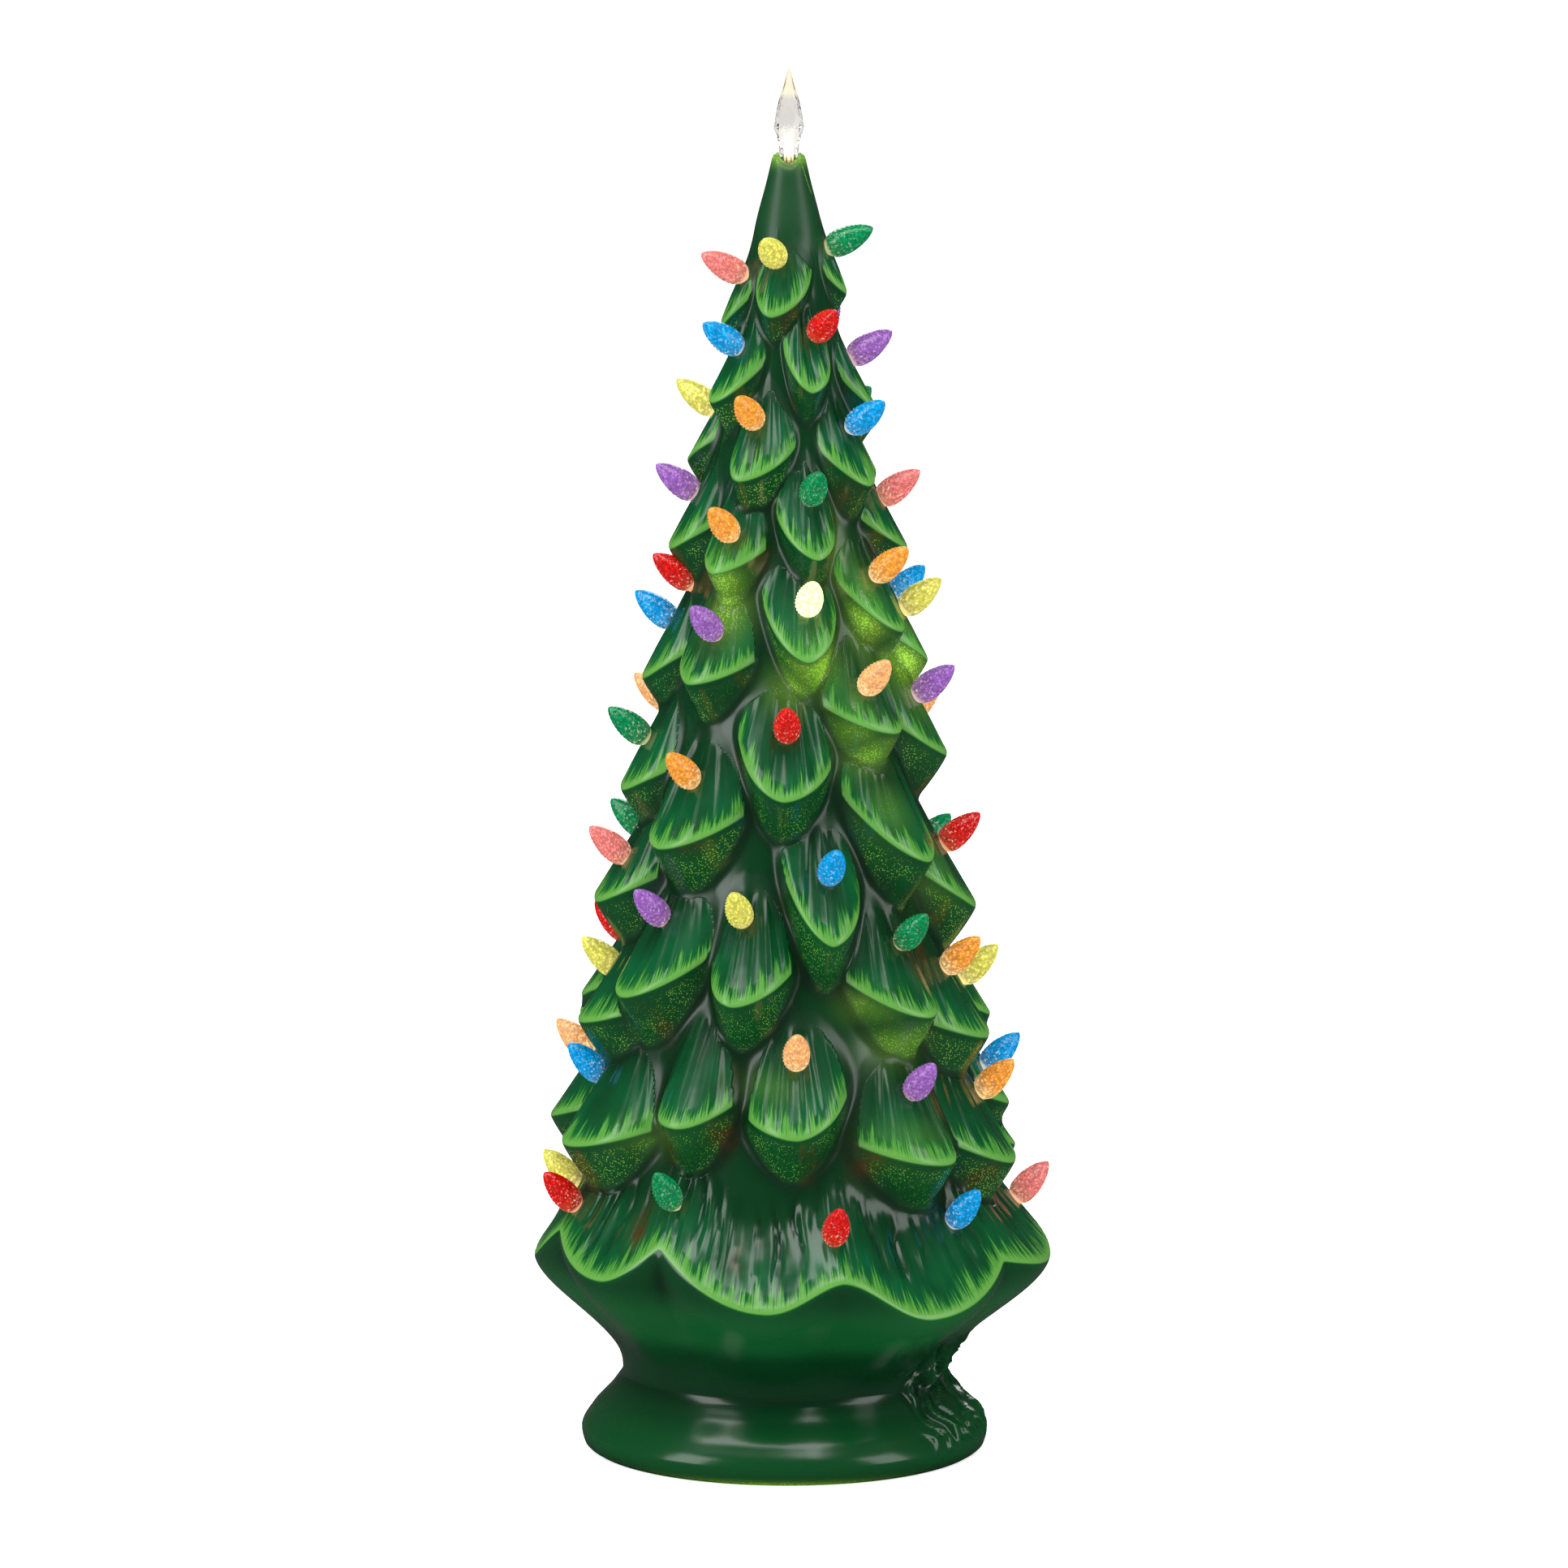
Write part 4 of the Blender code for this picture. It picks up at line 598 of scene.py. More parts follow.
# Glaze pools dark in the creases, and is thinner and clearer on foot, bowl and cone, above the brushed part
# and on the undersides
deep = mixed(nodes, fitted(nodes, raised, -0.5, 0.2), DEEP_GLAZE, DARK_GLAZE)
height = height_of(nodes, at)
thin = times(nodes, fitted(nodes, height, 0.034, 0.018), fitted(nodes, height, 0.001, 0.006))
bowl = times(nodes, fitted(nodes, height, 0.052, 0.064), fitted(nodes, height, 0.090, 0.072))
cone = fitted(nodes, height, 0.515, 0.550)
thin = plus(nodes, times(nodes, thin, 0.42), times(nodes, bowl, 0.90))
thin = plus(nodes, thin, times(nodes, cone, 0.36))
deep = mixed(nodes, thin, deep, FOOT_GLAZE)
tinted = times(nodes, fitted(nodes, above, 38.0, 8.0), fitted(nodes, above, -3.0, 2.0))
tinted = times(nodes, tinted, plus(nodes, times(nodes, patches, 0.5), 0.3))
colour = mixed(nodes, times(nodes, tinted, on_leaf), deep, EMERALD)
under = fitted(nodes, painted(nodes, "under"), 0.25, 0.95)
under = times(nodes, under, plus(nodes, times(nodes, patches, 0.6), 0.4))
colour = mixed(nodes, times(nodes, under, 0.8), colour, UNDERSIDE)
# Painted reflections: warm tints put into the glaze colour where it mirrors red and orange bulbs nearby
warm = painted(nodes, "warm")
warm = times(nodes, warm, fitted(nodes, noise(nodes, at, 160.0, 3.0), 0.35, 0.60, 0.3, 1.0))
colour = mixed(nodes, warm, colour, WARM_BULB_REFLECTION)
glow = maths(nodes, "MULTIPLY", glow, plus(nodes, times(nodes, under, 0.5), 0.6), clamp=True)
colour = mixed(nodes, times(nodes, glow, 0.75), colour, SHINE_THROUGH)
# Flecks, partly the glaze's own speckle and partly painted shine-through of the inside lamps: light dots on
# the undersides and where the glow is painted
grains = node(nodes, "TexVoronoi", {"Vector": at, "Scale": FLECK_SCALE})
flecked = maths(nodes, "MAXIMUM", times(nodes, under, 0.56), times(nodes, glow, 1.1))
grain_size = times(nodes, flecked, 0.52)
fleck = fitted(nodes, maths(nodes, "SUBTRACT", grain_size, grains.outputs["Distance"]), -0.05, 0.06)
colour = mixed(nodes, times(nodes, fleck, 0.75), colour, FLECKS_AND_SHINE)
colour = mixed(nodes, fitted(nodes, raised, 0.25, 0.9, 0.0, 0.25), colour, BRUSHED_EDGE)
colour = mixed(nodes, fitted(nodes, light, 0.0, 0.45), colour, BRUSHED_EDGE)
colour = mixed(nodes, fitted(nodes, light, 0.30, 0.80), colour, BRUSHED)
colour = mixed(nodes, fitted(nodes, light, 0.70, 1.0), colour, WET_LIP)
# Flutes are pressed down each leaf, and the glaze is a little wavy
flutes = fitted(nodes, noise(nodes, along_leaf(6.5, 170.0), 1.0, 0.3), 0.30, 0.70)
flutes = times(nodes, flutes, times(nodes, on_leaf, fitted(nodes, above, 0.5, 7.0)))
flutes = times(nodes, flutes, fitted(nodes, above, 44.0, 26.0))
waves = noise(nodes, at, 45.0, 2.0)
bump = bumped(nodes, flutes, 0.8, 0.0010)
bump = bumped(nodes, waves, 0.12, 0.002, Normal=bump)
# It is duller in the creases and on the cone
dull = fitted(nodes, painted(nodes, "crease"), 0.15, 0.9, 0.0, 0.10)
dull = plus(nodes, dull, times(nodes, cone, 0.22))
feed(nodes, surface, Base_Color=colour, Normal=bump, IOR=1.5,
     Roughness=plus(nodes, fitted(nodes, light, 0.0, 1.0, 0.19, 0.28), dull),
     Emission_Color=mixed(nodes, times(nodes, glow, glow), (0, 0, 0, 1), colour),
     Emission_Strength=0.9)
mesh.materials.append(glaze)
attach(tree, "tree")
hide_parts("tree_shell")

# Bulbs. Each is one small egg of coloured clear plastic, moulded all over with raised seeds that scatter
# the light, on a plain peg pushed through a hole in the leaf. A lamp behind the peg lights it from below.
BULB_LENGTH = 0.0225
BULB_RADIUS = 0.0058
BULB_SINKS = 0.0010
BULB_PEG_RADIUS = 0.0031
BULB_AROUND = 32
BULB_RINGS = 22
SEED_HEIGHT = 0.00026
PEG_STICKS_IN = 0.0002
PEG_LONGEST = 0.06
PEG_STEP = 0.0002
PEG_ENDS_UNDER = 0.0004
# Share of the length from the base and share of the greatest radius
BULB_OUTLINE = (
    (0.0, 0.56), (0.06, 0.74), (0.14, 0.90), (0.24, 0.98), (0.36, 1.0), (0.50, 0.95), (0.64, 0.82),
    (0.78, 0.63), (0.90, 0.40), (0.97, 0.20), (1.0, 0.03),
)
# Height and how far the bulbs there are turned up from level, in degrees
TILT_PROFILE = ((0.10, 48), (0.25, 42), (0.40, 38), (0.48, 34), (0.54, 24))
# Azimuth, height and colour of the bulbs on the front, each a piece of its own
FRONT_BULBS = (
    (-16, 0.528, "yellow"), (78, 0.532, "green"), (-72, 0.520, "pink"), (28, 0.496, "red"),
    (-57, 0.489, "blue"), (-26, 0.458, "orange"), (54, 0.455, "blue"), (14, 0.426, "green"),
    (-32, 0.410, "orange"), (10, 0.379, "white"), (55, 0.391, "orange"), (-37, 0.367, "purple"),
    (0, 0.325, "red"), (-41, 0.303, "orange"), (37, 0.344, "peach"), (15, 0.264, "blue"),
    (-50, 0.242, "purple"), (-16, 0.245, "yellow"), (44, 0.233, "green"), (3, 0.185, "peach"),
    (40, 0.169, "purple"), (-31, 0.123, "green"), (12, 0.111, "red"), (51, 0.111, "blue"),
)
# The plastic's colour, how strongly it shines, and how much of the lamp's warm light its base lets through
BULB_COLOURS = {
    "yellow": ((0.80, 0.76, 0.12), 0.72, 0.6), "green": ((0.001, 0.265, 0.085), 0.58, 0.1),
    "pink": ((0.90, 0.22, 0.20), 0.70, 0.35), "red": ((0.68, 0.008, 0.006), 0.70, 0.15),
    "blue": ((0.0, 0.33, 0.76), 0.72, 0.12), "purple": ((0.34, 0.13, 0.52), 0.66, 0.25),
    "orange": ((0.94, 0.34, 0.040), 0.85, 1.0), "peach": ((0.97, 0.45, 0.17), 0.95, 1.0),
    "white": ((1.0, 0.92, 0.36), 3.2, 0.5),
}


def surface_point(az, z):
    """The point BULB_SINKS inside the glazed surface at an azimuth in degrees and a height."""
    column = (math.radians(az) + math.pi) / (2 * math.pi) * COLUMNS
    k, part = int(column) % COLUMNS, column % 1
    row = z / top[k] * (ROWS - 1)
    r, rise = int(row), row % 1
    low = radius[r, k] * (1 - part) + radius[r, (k + 1) % COLUMNS] * part
    high = radius[r + 1, k] * (1 - part) + radius[r + 1, (k + 1) % COLUMNS] * part
    return point_at(az, low * (1 - rise) + high * rise - BULB_SINKS, z)


def point_at(az, distance, z):
    angle = math.radians(az)
    return Vector((distance * math.sin(angle), -distance * math.cos(angle), z))


def on_ring(distance, k, count, z):
    """The point with number k of a count of points round the z axis."""
    angle = 2 * math.pi * k / count
    return Vector((distance * math.cos(angle), distance * math.sin(angle), z))


def circle(distance, count, z, turned=0.0):
    """Points round the z axis, turned by a share of the step between them."""
    return [on_ring(distance, k + turned, count, z) for k in range(count)]


def wall_radius(z):
    """Radius of the plain wall inside."""
    return float(np.interp(z, inside_z[::-1], inside_radius[::-1]))


def bulb_axis(az, z):
    lift = math.radians(float(smooth_curve(TILT_PROFILE, z)))
    return point_at(az, math.cos(lift), math.sin(lift))


def peg_length(az, z, inset):
    """Distance back along a bulb's axis from its base to a depth inside the wall."""
    base, axis = surface_point(az, z), bulb_axis(az, z)
    length = 0.0
    while length < PEG_LONGEST:
        back = base - axis * length
        if math.hypot(back.x, back.y) <= wall_radius(back.z) - inset:
            break
        length += PEG_STEP
    return length


def close_tube(made, rings, finish):
    """Faces between the rings, from the lowest up, and one over each end."""
    for low, high in zip(rings, rings[1:]):
        for k in range(len(low)):
            n = (k + 1) % len(low)
            made.faces.new((low[k], low[n], high[n], high[k])).material_index = finish
    made.faces.new(rings[0][::-1]).material_index = finish
    made.faces.new(rings[-1]).material_index = finish


def add_bulb(made, rise, az, z, peg, finish):
    """A seeded egg with its peg, added to a bmesh as one closed body."""
    turn = bulb_axis(az, z).to_track_quat("Z", "Y").to_matrix().to_4x4()
    matrix = Matrix.Translation(surface_point(az, z)) @ turn
    rings = [[made.verts.new(matrix @ spot) for spot in circle(BULB_PEG_RADIUS, BULB_AROUND, height)]
             for height in (-peg, -peg / 2, -PEG_ENDS_UNDER)]
    for i in range(BULB_RINGS):
        share = 1 - (1 - i / (BULB_RINGS - 1)) ** 1.15
        distance = float(smooth_curve(BULB_OUTLINE, share)) * BULB_RADIUS
        seeds = SEED_HEIGHT * min(1.0, 6 * share, 5 * (1 - share))
        ring = []
        for k in range(BULB_AROUND):
            out = distance + (seeds if (i + k) % 2 else -seeds)
            ring.append(made.verts.new(matrix @ on_ring(out, k, BULB_AROUND, share * BULB_LENGTH)))
            ring[-1][rise] = share
        rings.append(ring)
    close_tube(made, rings, finish)


def new_group(name, inputs, outputs):
    """A shader node group with its named sockets, and what comes in; each socket has a name and a kind."""
    group = bpy.data.node_groups.new(name, "ShaderNodeTree")
    for way, sockets in (("INPUT", inputs), ("OUTPUT", outputs)):
        for socket, kind in sockets.items():
            group.interface.new_socket(socket, in_out=way, socket_type="NodeSocket" + kind)
    return group, group.nodes.new("NodeGroupInput").outputs


def give_out(group, **values):
    """Links what a group puts out."""
    leaving = group.nodes.new("NodeGroupOutput")
    for name, value in values.items():
        group.links.new(value, leaving.inputs[name])


# The look of a lit seeded bulb: pale where the lamp shines in, with painted shade deep in the grooves between
# seeds and painted glints on the seeds
seeded, entry = new_group("lit_seeds", {"Colour": "Color", "Lamp": "Float"},
                          {"Plastic": "Color", "Light": "Color", "Normal": "Vector"})
at = own_place(seeded)
rise = painted(seeded, "rise")
cells = node(seeded, "TexVoronoi", {"Vector": at, "Scale": 640.0}).outputs["Distance"]
facets = fitted(seeded, cells, 0.08, 0.60, 1.0, 0.42)
base_light = times(seeded, fitted(seeded, rise, 0.48, 0.04), entry["Lamp"])
lamp_light = mixed(seeded, base_light, entry["Colour"], (1.35, 1.02, 0.48, 1))
mottled = fitted(seeded, noise(seeded, at, 520.0, 3.0), 0.38, 0.62, 0.58, 1.0)
light = mixed(seeded, times(seeded, facets, mottled), (0, 0, 0, 1), lamp_light)
# Painted glints: small cream spots put into the bulb's light, standing in for its facets catching the soft
# boxes
painted_glints = fitted(seeded, noise(seeded, at, 900.0, 2.0), 0.60, 0.68, 0.0, 0.75)
painted_glints = times(seeded, painted_glints, fitted(seeded, rise, 0.80, 0.10, 0.35, 1.0))
light = mixed(seeded, painted_glints, light, (1.15, 1.02, 0.82, 1))
stub = mixed(seeded, 0.55, entry["Colour"], (1.5, 1.15, 0.62, 1))
light = mixed(seeded, fitted(seeded, rise, 0.11, 0.03), light, stub)
shade = mixed(seeded, 0.62, entry["Colour"], (0, 0, 0, 1))
plastic = mixed(seeded, times(seeded, facets, mottled), shade, entry["Colour"])
bump = node(seeded, "Bump", {"Strength": 0.5, "Distance": 0.0004, "Height": cells}, invert=True).outputs[0]
give_out(seeded, Plastic=plastic, Light=light, Normal=bump)

bulb_finish = {}
for colour, (tint, glow, lamp) in BULB_COLOURS.items():
    bulb_finish[colour], nodes, surface = new_material("bulb_" + colour)
    seeds = node(nodes, "Group", {"Colour": (*tint, 1), "Lamp": lamp}, node_tree=seeded).outputs
    feed(nodes, surface, Base_Color=seeds["Plastic"], Emission_Color=seeds["Light"], Emission_Strength=glow,
         Normal=seeds["Normal"], Roughness=0.14, IOR=1.49)


def bulb_piece(name, bulbs, peg_inset, extra_peg):
    """The bulbs of one piece, each in its own colour."""
    made = bmesh.new()
    rise = made.verts.layers.float.new("rise")
    colours = sorted({colour for _, _, colour in bulbs})
    for az, z, colour in bulbs:
        add_bulb(made, rise, az, z, peg_length(az, z, peg_inset) + extra_peg, colours.index(colour))
    mesh = bpy.data.meshes.new(name)
    made.to_mesh(mesh)
    made.free()
    mesh.shade_smooth()
    for colour in colours:
        mesh.materials.append(bulb_finish[colour])
    return put_in_scene(name, mesh)


for index, bulb in enumerate(FRONT_BULBS, 1):
    piece = bulb_piece("bulb_seeded_%02d" % index, [bulb], PEG_STICKS_IN, 0.0)
    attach(piece, "tree")
    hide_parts("bulb_%02d_%s" % (index, bulb[2]))

# Strings of bulbs. At the sides and the back the bulbs sit on green wires that run down the inside of the
# wall, one moulded peg at each, so that each string is one piece from its top bulb to the harness.
WIRE_RADIUS = 0.0009
WIRE_INSET = 0.0040
WIRE_SIDES = 8
WIRE_STARTS_ABOVE = 0.004
WIRE_STEPS = 6
WIRE_GREEN = (0.012, 0.10, 0.03, 1)
STRING_LEAVES_WALL = 0.076
SIDE_STRINGS = {
    "right": (
        (94, 0.483, "purple"), (83, 0.422, "pink"), (97, 0.372, "yellow"), (80, 0.336, "purple"),
        (92, 0.268, "red"), (69, 0.218, "orange"), (78, 0.161, "orange"), (97, 0.108, "pink"),
    ),
    "right_rear": (
        (122, 0.374, "blue"), (104, 0.323, "peach"), (118, 0.262, "green"), (94, 0.208, "yellow"),
        (97, 0.167, "blue"), (123, 0.110, "green"),
    ),
    "back_right": (
        (150, 0.493, "purple"), (132, 0.455, "green"), (143, 0.405, "red"), (146, 0.343, "yellow"),
        (142, 0.298, "pink"), (141, 0.235, "blue"), (137, 0.167, "red"), (150, 0.115, "peach"),
    ),
    "back": (
        (-170, 0.527, "red"), (167, 0.423, "blue"), (175, 0.377, "orange"), (180, 0.323, "purple"),
        (166, 0.262, "yellow"), (-168, 0.243, "green"), (177, 0.183, "pink"), (179, 0.108, "orange"),
    ),
    "back_left": (
        (-152, 0.455, "peach"), (-142, 0.405, "purple"), (-144, 0.363, "yellow"), (-140, 0.302, "blue"),
        (-138, 0.241, "orange"), (-143, 0.180, "green"), (-150, 0.112, "purple"),
    ),
    "left_rear": (
        (-103, 0.460, "yellow"), (-97, 0.366, "blue"), (-98, 0.329, "peach"), (-100, 0.272, "green"),
        (-111, 0.223, "red"), (-99, 0.172, "peach"), (-97, 0.113, "yellow"),
    ),
    "left": (
        (-85, 0.424, "purple"), (-78, 0.385, "red"), (-80, 0.317, "green"), (-76, 0.265, "pink"),
        (-86, 0.213, "yellow"), (-76, 0.168, "blue"), (-69, 0.113, "red"),
    ),
}

# Flexible green insulation: a slightly uneven colour with a satin surface
soft_wire, entry = new_group("soft_insulation", {"Colour": "Color"}, {"Colour": "Color", "Normal": "Vector"})
at = own_place(soft_wire)
streaks = noise(soft_wire, at, 260.0, 3.0)
darker = mixed(soft_wire, 1.0, entry["Colour"], (0.45, 0.45, 0.45, 1), "MULTIPLY")
jacket = mixed(soft_wire, fitted(soft_wire, streaks, 0.3, 0.7), darker, entry["Colour"])
give_out(soft_wire, Colour=jacket, Normal=bumped(soft_wire, noise(soft_wire, at, 1400.0), 0.3, 0.0002))

wire_green, nodes, surface = new_material("wire_green")
jacket = node(nodes, "Group", {"Colour": WIRE_GREEN}, node_tree=soft_wire).outputs
feed(nodes, surface, Base_Color=jacket["Colour"], Normal=jacket["Normal"], Roughness=0.42)


def string_path(bulbs):
    """Points of a string's wire, which follows the wall past each bulb down to the harness."""
    stops = []
    for az, z, _ in bulbs:
        spot = surface_point(az, z) - bulb_axis(az, z) * peg_length(az, z, WIRE_INSET)
        stops.append((math.degrees(math.atan2(spot.x, -spot.y)), spot.z))
    stops.sort(key=lambda stop: -stop[1])
    path = [(stops[0][0], stops[0][1] + WIRE_STARTS_ABOVE)]
    for (az, z), (next_az, next_z) in zip(stops, stops[1:] + [(stops[-1][0], STRING_LEAVES_WALL)]):
        if abs(next_az - az) > 180:
            next_az += math.copysign(360, az)
        for step in range(WIRE_STEPS):
            path.append((az + (next_az - az) * step / WIRE_STEPS, z + (next_z - z) * step / WIRE_STEPS))
    path.append((stops[-1][0], STRING_LEAVES_WALL))
    return [point_at(az, wall_radius(z) - WIRE_INSET, z) for az, z in path]


for name, bulbs in SIDE_STRINGS.items():
    piece = bulb_piece("seeded_string_" + name, bulbs, WIRE_INSET, WIRE_RADIUS / 2)
    made = bmesh.new()
    made.from_mesh(piece.data)
    rings = [[made.verts.new(middle + spot) for spot in circle(WIRE_RADIUS, WIRE_SIDES, 0)]
             for middle in string_path(bulbs)]
    close_tube(made, rings[::-1], len(piece.data.materials))
    made.to_mesh(piece.data)
    made.free()
    piece.data.shade_smooth()
    piece.data.materials.append(wire_green)
    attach(piece, "tree")
    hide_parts("string_" + name)

# Crown bulb. One clear moulded flame with cut facets, hollow up its middle, pushed into the rim at the top;
# its lamp stands in the hollow on a wire from the base.
CROWN_SIDES = 10
CROWN_BORE_RADIUS = 0.0021
CROWN_BORE_TOP = 0.0118
CROWN_STANDS_UP = 0.0008
CREAM_FROM = 0.0235
CREAM_TO = 0.0285
# Height above the rim, radius, and how far round the ring is turned in half facets
CROWN_RINGS = (
    (-0.0140, 0.0040, 0), (-0.0010, 0.0041, 0), (0.0006, 0.0043, 0), (0.0030, 0.0042, 0), (0.0058, 0.0050, 1),
    (0.0118, 0.0066, 0), (0.0126, 0.0065, 0), (0.0186, 0.0058, 1), (0.0240, 0.0043, 0), (0.0300, 0.0024, 1),
    (0.0345, 0.0012, 0), (0.0375, 0.0003, 0),
)
made = bmesh.new()
rings = []
for height, distance, half_turns in CROWN_RINGS:
    height += TREE_TOP + CROWN_STANDS_UP
    ring = [made.verts.new(spot) for spot in circle(distance, CROWN_SIDES, height, half_turns / 2)]
    rings.append((ring, half_turns))
for (low, low_turn), (high, high_turn) in zip(rings, rings[1:]):
    for k in range(CROWN_SIDES):
        n = (k + 1) % CROWN_SIDES
        if low_turn == high_turn:
            made.faces.new((low[k], low[n], high[n], high[k]))
        elif high_turn:
            made.faces.new((low[k], low[n], high[k]))
            made.faces.new((low[n], high[n], high[k]))
        else:
            made.faces.new((low[k], high[n], high[k]))
            made.faces.new((low[k], low[n], high[n]))
made.faces.new(rings[-1][0])
bore = []
for height in (CROWN_RINGS[0][0], CROWN_BORE_TOP):
    height += TREE_TOP + CROWN_STANDS_UP
    bore.append([made.verts.new(spot) for spot in circle(CROWN_BORE_RADIUS, CROWN_SIDES, height)])
for k in range(CROWN_SIDES):
    n = (k + 1) % CROWN_SIDES
    made.faces.new((bore[0][n], bore[0][k], bore[1][k], bore[1][n]))
    made.faces.new((rings[0][0][n], rings[0][0][k], bore[0][k], bore[0][n]))
made.faces.new(bore[1][::-1])
bmesh.ops.recalc_face_normals(made, faces=made.faces)
mesh = bpy.data.meshes.new("crown_flame")
made.to_mesh(mesh)
made.free()
crown_glass, nodes, surface = new_material("clear_bulb")
at = own_place(nodes)
ripple = bumped(nodes, noise(nodes, at, 330.0), 0.25, 0.0003)
cloud = fitted(nodes, noise(nodes, at, 190.0), 0.4, 0.7)
haze = mixed(nodes, cloud, (1, 0.99, 0.96, 1), (0.97, 0.93, 0.84, 1))
height = height_of(nodes, at)
tip_glow = fitted(nodes, height, TREE_TOP + CREAM_FROM, TREE_TOP + CREAM_TO)
haze = mixed(nodes, tip_glow, haze, (0.99, 0.94, 0.78, 1))
feed(nodes, surface, Base_Color=haze, Transmission_Weight=1.0, Roughness=0.03, IOR=1.46,
     Emission_Color=mixed(nodes, tip_glow, (0, 0, 0, 1), (0.16, 0.13, 0.08, 1)), Emission_Strength=1.0,
     Normal=ripple)
mesh.materials.append(crown_glass)
crown = put_in_scene("crown_flame", mesh)
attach(crown, "tree")
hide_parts("crown_bulb")

# Lamps and their wires. Warm lamps stand behind the front bulbs and in the crown, on green wires down the
# inside to one plug on the board; they keep their CAD shapes.
lamp_finish, nodes, surface = new_material("lamp_and_wire")
jacket = node(nodes, "Group", {"Colour": WIRE_GREEN}, node_tree=soft_wire).outputs
height = height_of(nodes, own_place(nodes))
lit = fitted(nodes, height, TREE_TOP - 0.004, TREE_TOP + 0.003)
feed(nodes, surface, Base_Color=mixed(nodes, lit, jacket["Colour"], (0.9, 0.75, 0.4, 1)),
     Emission_Color=mixed(nodes, lit, (0, 0, 0, 1), (1.0, 0.78, 0.40, 1)), Emission_Strength=3.0,
     Normal=jacket["Normal"], Roughness=0.4)


def dress(material, *names):
    """Gives a material to CAD pieces that keep their shape."""
    for name in names:
        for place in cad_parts[name].material_slots:
            place.material = material


dress(lamp_finish, "crown_light")
dress(wire_green, "wire_harness", "lamps_front_left", "lamps_front_middle", "lamps_front_right")

# Base plate, battery door, switch. Injection-moulded black plastic with a fine spark-eroded grain, held up
# inside the foot by three screws; the door swings on a steel pin and the slider moves in the switch's slot.
moulded, entry = new_group("moulded_plastic", {"Colour": "Color", "Grain": "Float"},
                           {"Colour": "Color", "Roughness": "Float", "Normal": "Vector"})
at = own_place(moulded)
grain = noise(moulded, at, entry["Grain"], 2.0)
flow = noise(moulded, at, 35.0, 4.0)
lighter = mixed(moulded, 1.0, entry["Colour"], (1.7, 1.7, 1.7, 1), "MULTIPLY")
worn = mixed(moulded, fitted(moulded, flow, 0.35, 0.75), entry["Colour"], lighter)
bump = bumped(moulded, grain, 0.35, 0.00025)
give_out(moulded, Colour=worn, Roughness=fitted(moulded, flow, 0.3, 0.7, 0.42, 0.58), Normal=bump)


def plastic_finish(name, tint, grain):
    material, nodes, surface = new_material(name)
    texture = node(nodes, "Group", {"Colour": tint, "Grain": grain}, node_tree=moulded).outputs
    feed(nodes, surface, Base_Color=texture["Colour"], Roughness=texture["Roughness"],
         Normal=texture["Normal"])
    return material


dress(plastic_finish("black_plastic", (0.014, 0.014, 0.015, 1), 1500.0), "base_plate")
dress(plastic_finish("black_door_plastic", (0.020, 0.020, 0.021, 1), 1500.0), "battery_door")
dress(plastic_finish("switch_plastic", (0.012, 0.012, 0.012, 1), 2400.0), "switch_body")
dress(plastic_finish("slider_plastic", (0.30, 0.30, 0.29, 1), 2400.0), "switch_slider")

# Screws, hinge pin, contacts. Zinc-plated steel: turned heads, a drawn pin, and springs and strips bent
# from wire and sheet, with faint drawing marks.
steel, nodes, surface = new_material("plated_steel")
at = own_place(nodes)
drawn = node(nodes, "Mapping", {"Vector": at, "Scale": (60.0, 900.0, 900.0)}).outputs[0]
marks = noise(nodes, drawn, 1.0, 3.0)
spots = fitted(nodes, noise(nodes, at, 120.0), 0.3, 0.7)
tone = mixed(nodes, spots, (0.42, 0.43, 0.45, 1), (0.62, 0.63, 0.64, 1))
bump = bumped(nodes, marks, 0.2, 0.0001)
feed(nodes, surface, Base_Color=tone, Metallic=1.0, Normal=bump,
     Roughness=fitted(nodes, marks, 0.3, 0.7, 0.22, 0.38))
dress(steel, "base_screw_1", "base_screw_2", "base_screw_3", "hinge_pin", "contact_start",
      "contact_left_bridge", "contact_right_bridge", "contact_end")

# Battery cells. A shrunk plastic sleeve round a steel can, dark grey with one copper-coloured band near its
# +X end; the bare can shows at both ends.
cell_finish, nodes, surface = new_material("cell_sleeve")
at = node(nodes, "TexCoord").outputs["Generated"]
length = node(nodes, "SeparateXYZ", {0: at}).outputs[0]
band = fitted(nodes, length, 0.70, 0.705)
scuffs = noise(nodes, own_place(nodes), 240.0, 4.0)
sleeve = mixed(nodes, band, (0.030, 0.031, 0.034, 1), (0.42, 0.17, 0.055, 1))
sleeve = mixed(nodes, fitted(nodes, scuffs, 0.55, 0.8, 0.0, 0.25), sleeve, (0.35, 0.35, 0.35, 1))
bare = maths(nodes, "MAXIMUM", fitted(nodes, length, 0.955, 0.96), fitted(nodes, length, 0.02, 0.015))
bump = bumped(nodes, scuffs, 0.15, 0.0001)
feed(nodes, surface, Base_Color=mixed(nodes, bare, sleeve, (0.6, 0.6, 0.6, 1)), Metallic=bare,
     Roughness=fitted(nodes, scuffs, 0.3, 0.7, 0.28, 0.40), Normal=bump)
dress(cell_finish, "battery_cell_1", "battery_cell_2", "battery_cell_3")

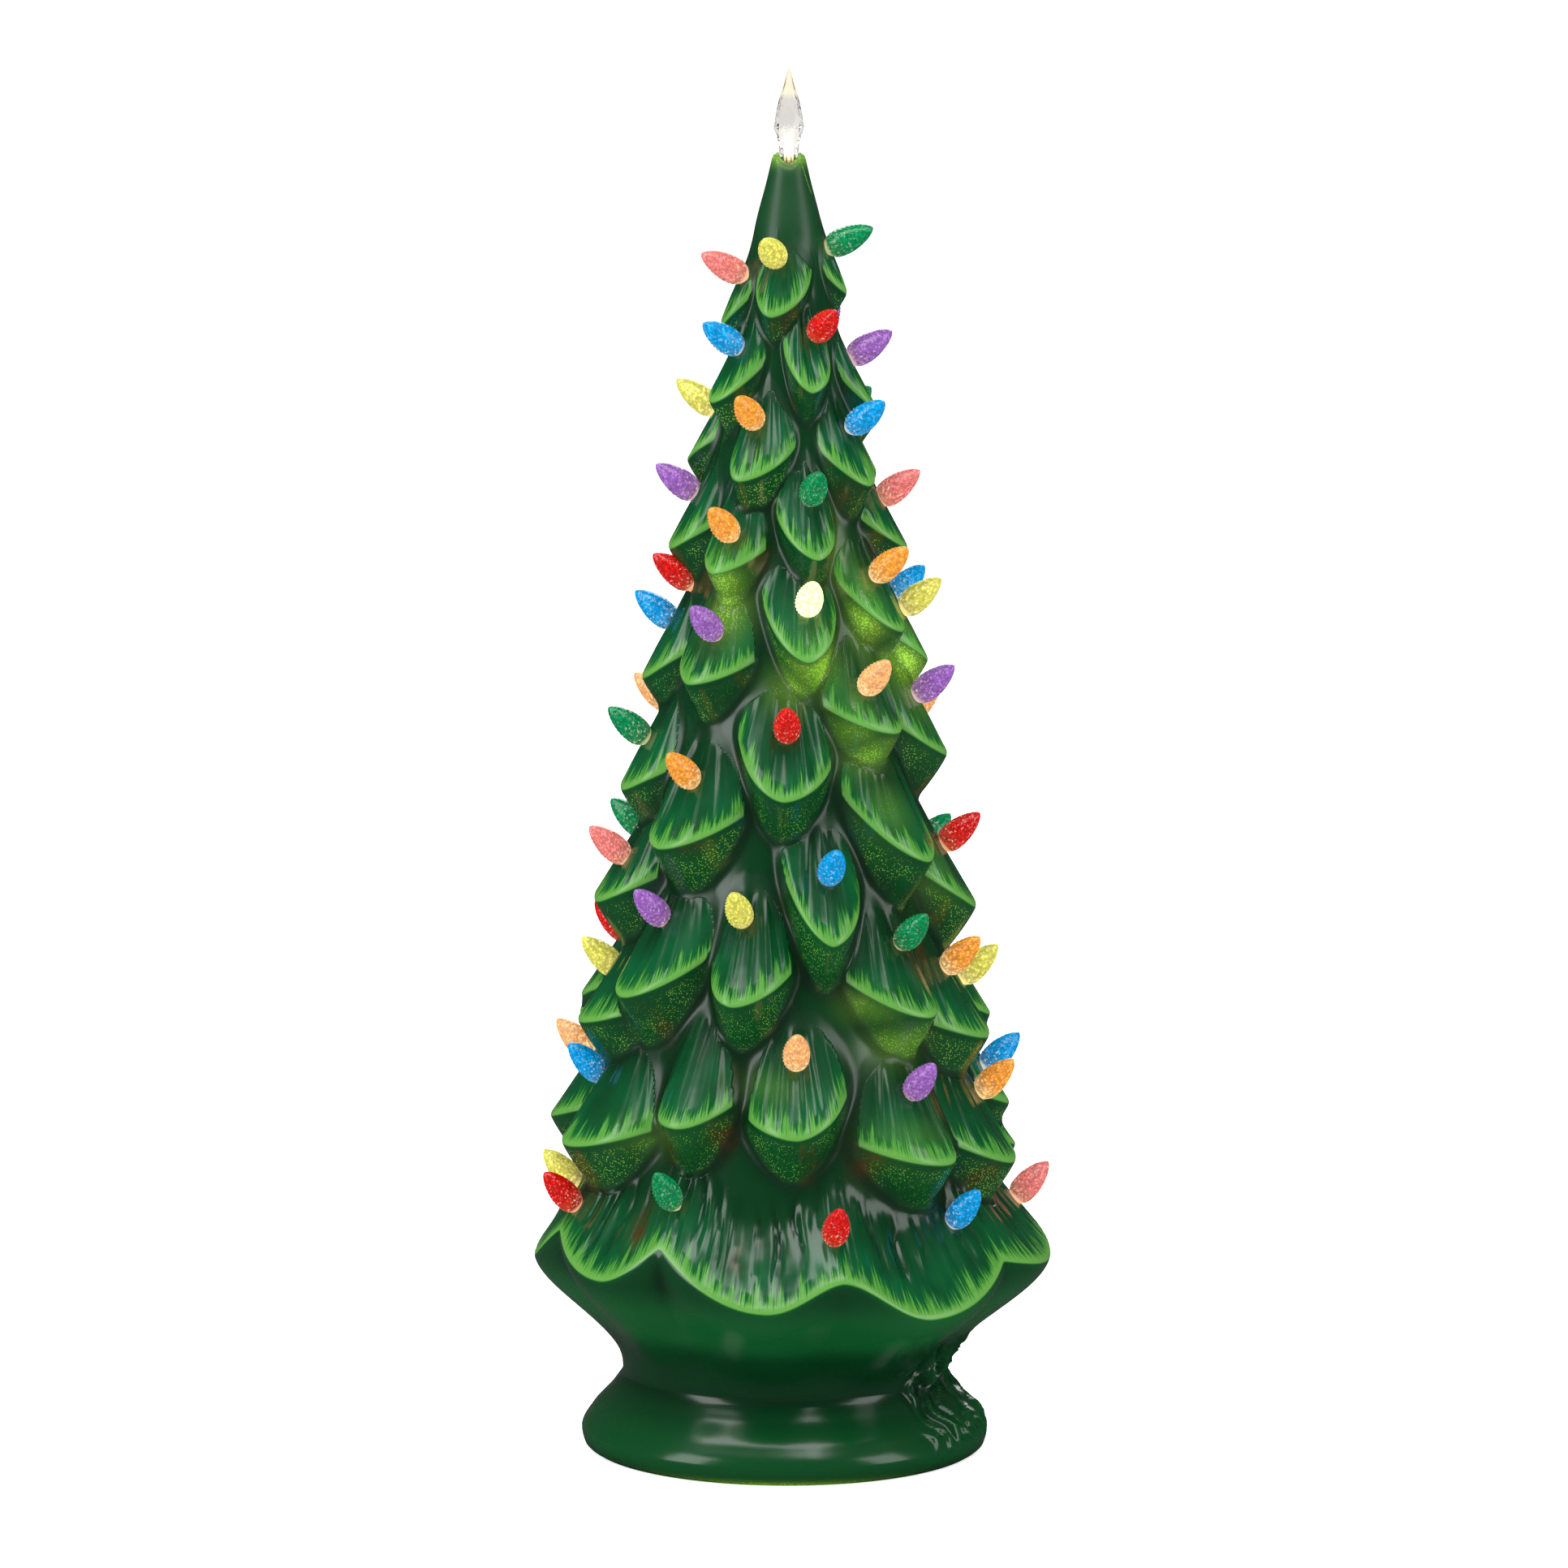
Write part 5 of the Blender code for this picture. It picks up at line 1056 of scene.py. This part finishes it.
# Circuit board. Fibreglass with copper tracks under green solder mask, and black moulded chips soldered on
# top; it stands on posts of the base plate.
board_finish, nodes, surface = new_material("board_green")
at = own_place(nodes)
height = height_of(nodes, node(nodes, "TexCoord").outputs["Generated"])
chip = fitted(nodes, height, 0.40, 0.45)
weave = noise(nodes, at, 900.0, 2.0)
tracks = node(nodes, "TexBrick", {"Vector": at, "Scale": 260.0, "Mortar Size": 0.03}).outputs["Fac"]
mask = mixed(nodes, tracks, (0.006, 0.085, 0.028, 1), (0.012, 0.16, 0.05, 1))
mask = mixed(nodes, fitted(nodes, weave, 0.3, 0.7, 0.0, 0.3), mask, (0.002, 0.05, 0.02, 1))
bump = bumped(nodes, weave, 0.2, 0.0001)
feed(nodes, surface, Base_Color=mixed(nodes, chip, mask, (0.015, 0.015, 0.016, 1)), Normal=bump,
     Roughness=fitted(nodes, weave, 0.3, 0.7, 0.28, 0.42))
dress(board_finish, "circuit_board")

# Floor and light. A plain white floor runs far back. Soft boxes at both sides, above and behind show as
# long clean reflections in the glaze. Camera rays see floor and world as white, mirrors see them as dark.
floor_mesh = bpy.data.meshes.new("floor")
made = bmesh.new()
bmesh.ops.create_grid(made, x_segments=24, y_segments=24, size=45.0)
made.to_mesh(floor_mesh)
made.free()
floor = put_in_scene("floor", floor_mesh)
paper, nodes, surface = new_material("white_floor")
at = own_place(nodes)
patches = fitted(nodes, noise(nodes, at, 3.0), 0.3, 0.7)
tone = mixed(nodes, patches, (0.86, 0.86, 0.86, 1), (0.89, 0.89, 0.89, 1))
path = node(nodes, "LightPath")
mirrored = mixed(nodes, path.outputs["Is Glossy Ray"], tone, (0.06, 0.06, 0.06, 1))
seen = maths(nodes, "MAXIMUM", path.outputs["Is Camera Ray"], path.outputs["Is Transmission Ray"])
feed(nodes, surface, Base_Color=mirrored, Roughness=0.9, Specular_IOR_Level=0.0, Emission_Strength=0.7,
     Emission_Color=mixed(nodes, seen, (0, 0, 0, 1), (1, 1, 1, 1)))
floor_mesh.materials.append(paper)

world = bpy.data.worlds.new("studio")
bpy.context.scene.world = world
world.use_nodes = True
world.node_tree.nodes.clear()
path = node(world.node_tree, "LightPath")
seen = maths(world.node_tree, "MAXIMUM", path.outputs["Is Camera Ray"], path.outputs["Is Transmission Ray"])
sky = mixed(world.node_tree, path.outputs["Is Glossy Ray"], (0.55, 0.55, 0.55, 1), (0.05, 0.05, 0.05, 1))
sky = mixed(world.node_tree, seen, sky, (0.96, 0.96, 0.96, 1))
background = node(world.node_tree, "Background", {"Color": sky, "Strength": 1.0})
node(world.node_tree, "OutputWorld", {"Surface": background.outputs[0]})


def softbox(name, place, aim, size, watts):
    light = bpy.data.lights.new(name, "AREA")
    light.shape = "RECTANGLE"
    light.size, light.size_y = size
    light.energy = watts
    lamp = put_in_scene(name, light)
    lamp.location = place
    lamp.rotation_euler = (Vector(aim) - Vector(place)).to_track_quat("-Z", "Y").to_euler()


softbox("box_left", (-2.2, -1.4, 1.0), (0, 0, 0.28), (1.1, 2.2), 31.0)
softbox("box_right", (2.2, -1.2, 0.9), (0, 0, 0.28), (1.0, 2.2), 21.0)
softbox("box_top", (-0.3, -0.8, 2.3), (0, 0, 0.2), (2.6, 0.9), 35.0)
softbox("box_back", (0.2, 2.0, 1.6), (0, 0, 0.3), (2.0, 1.0), 30.0)

bpy.context.scene.view_settings.view_transform = "Standard"
bpy.context.scene.view_settings.look = "None"
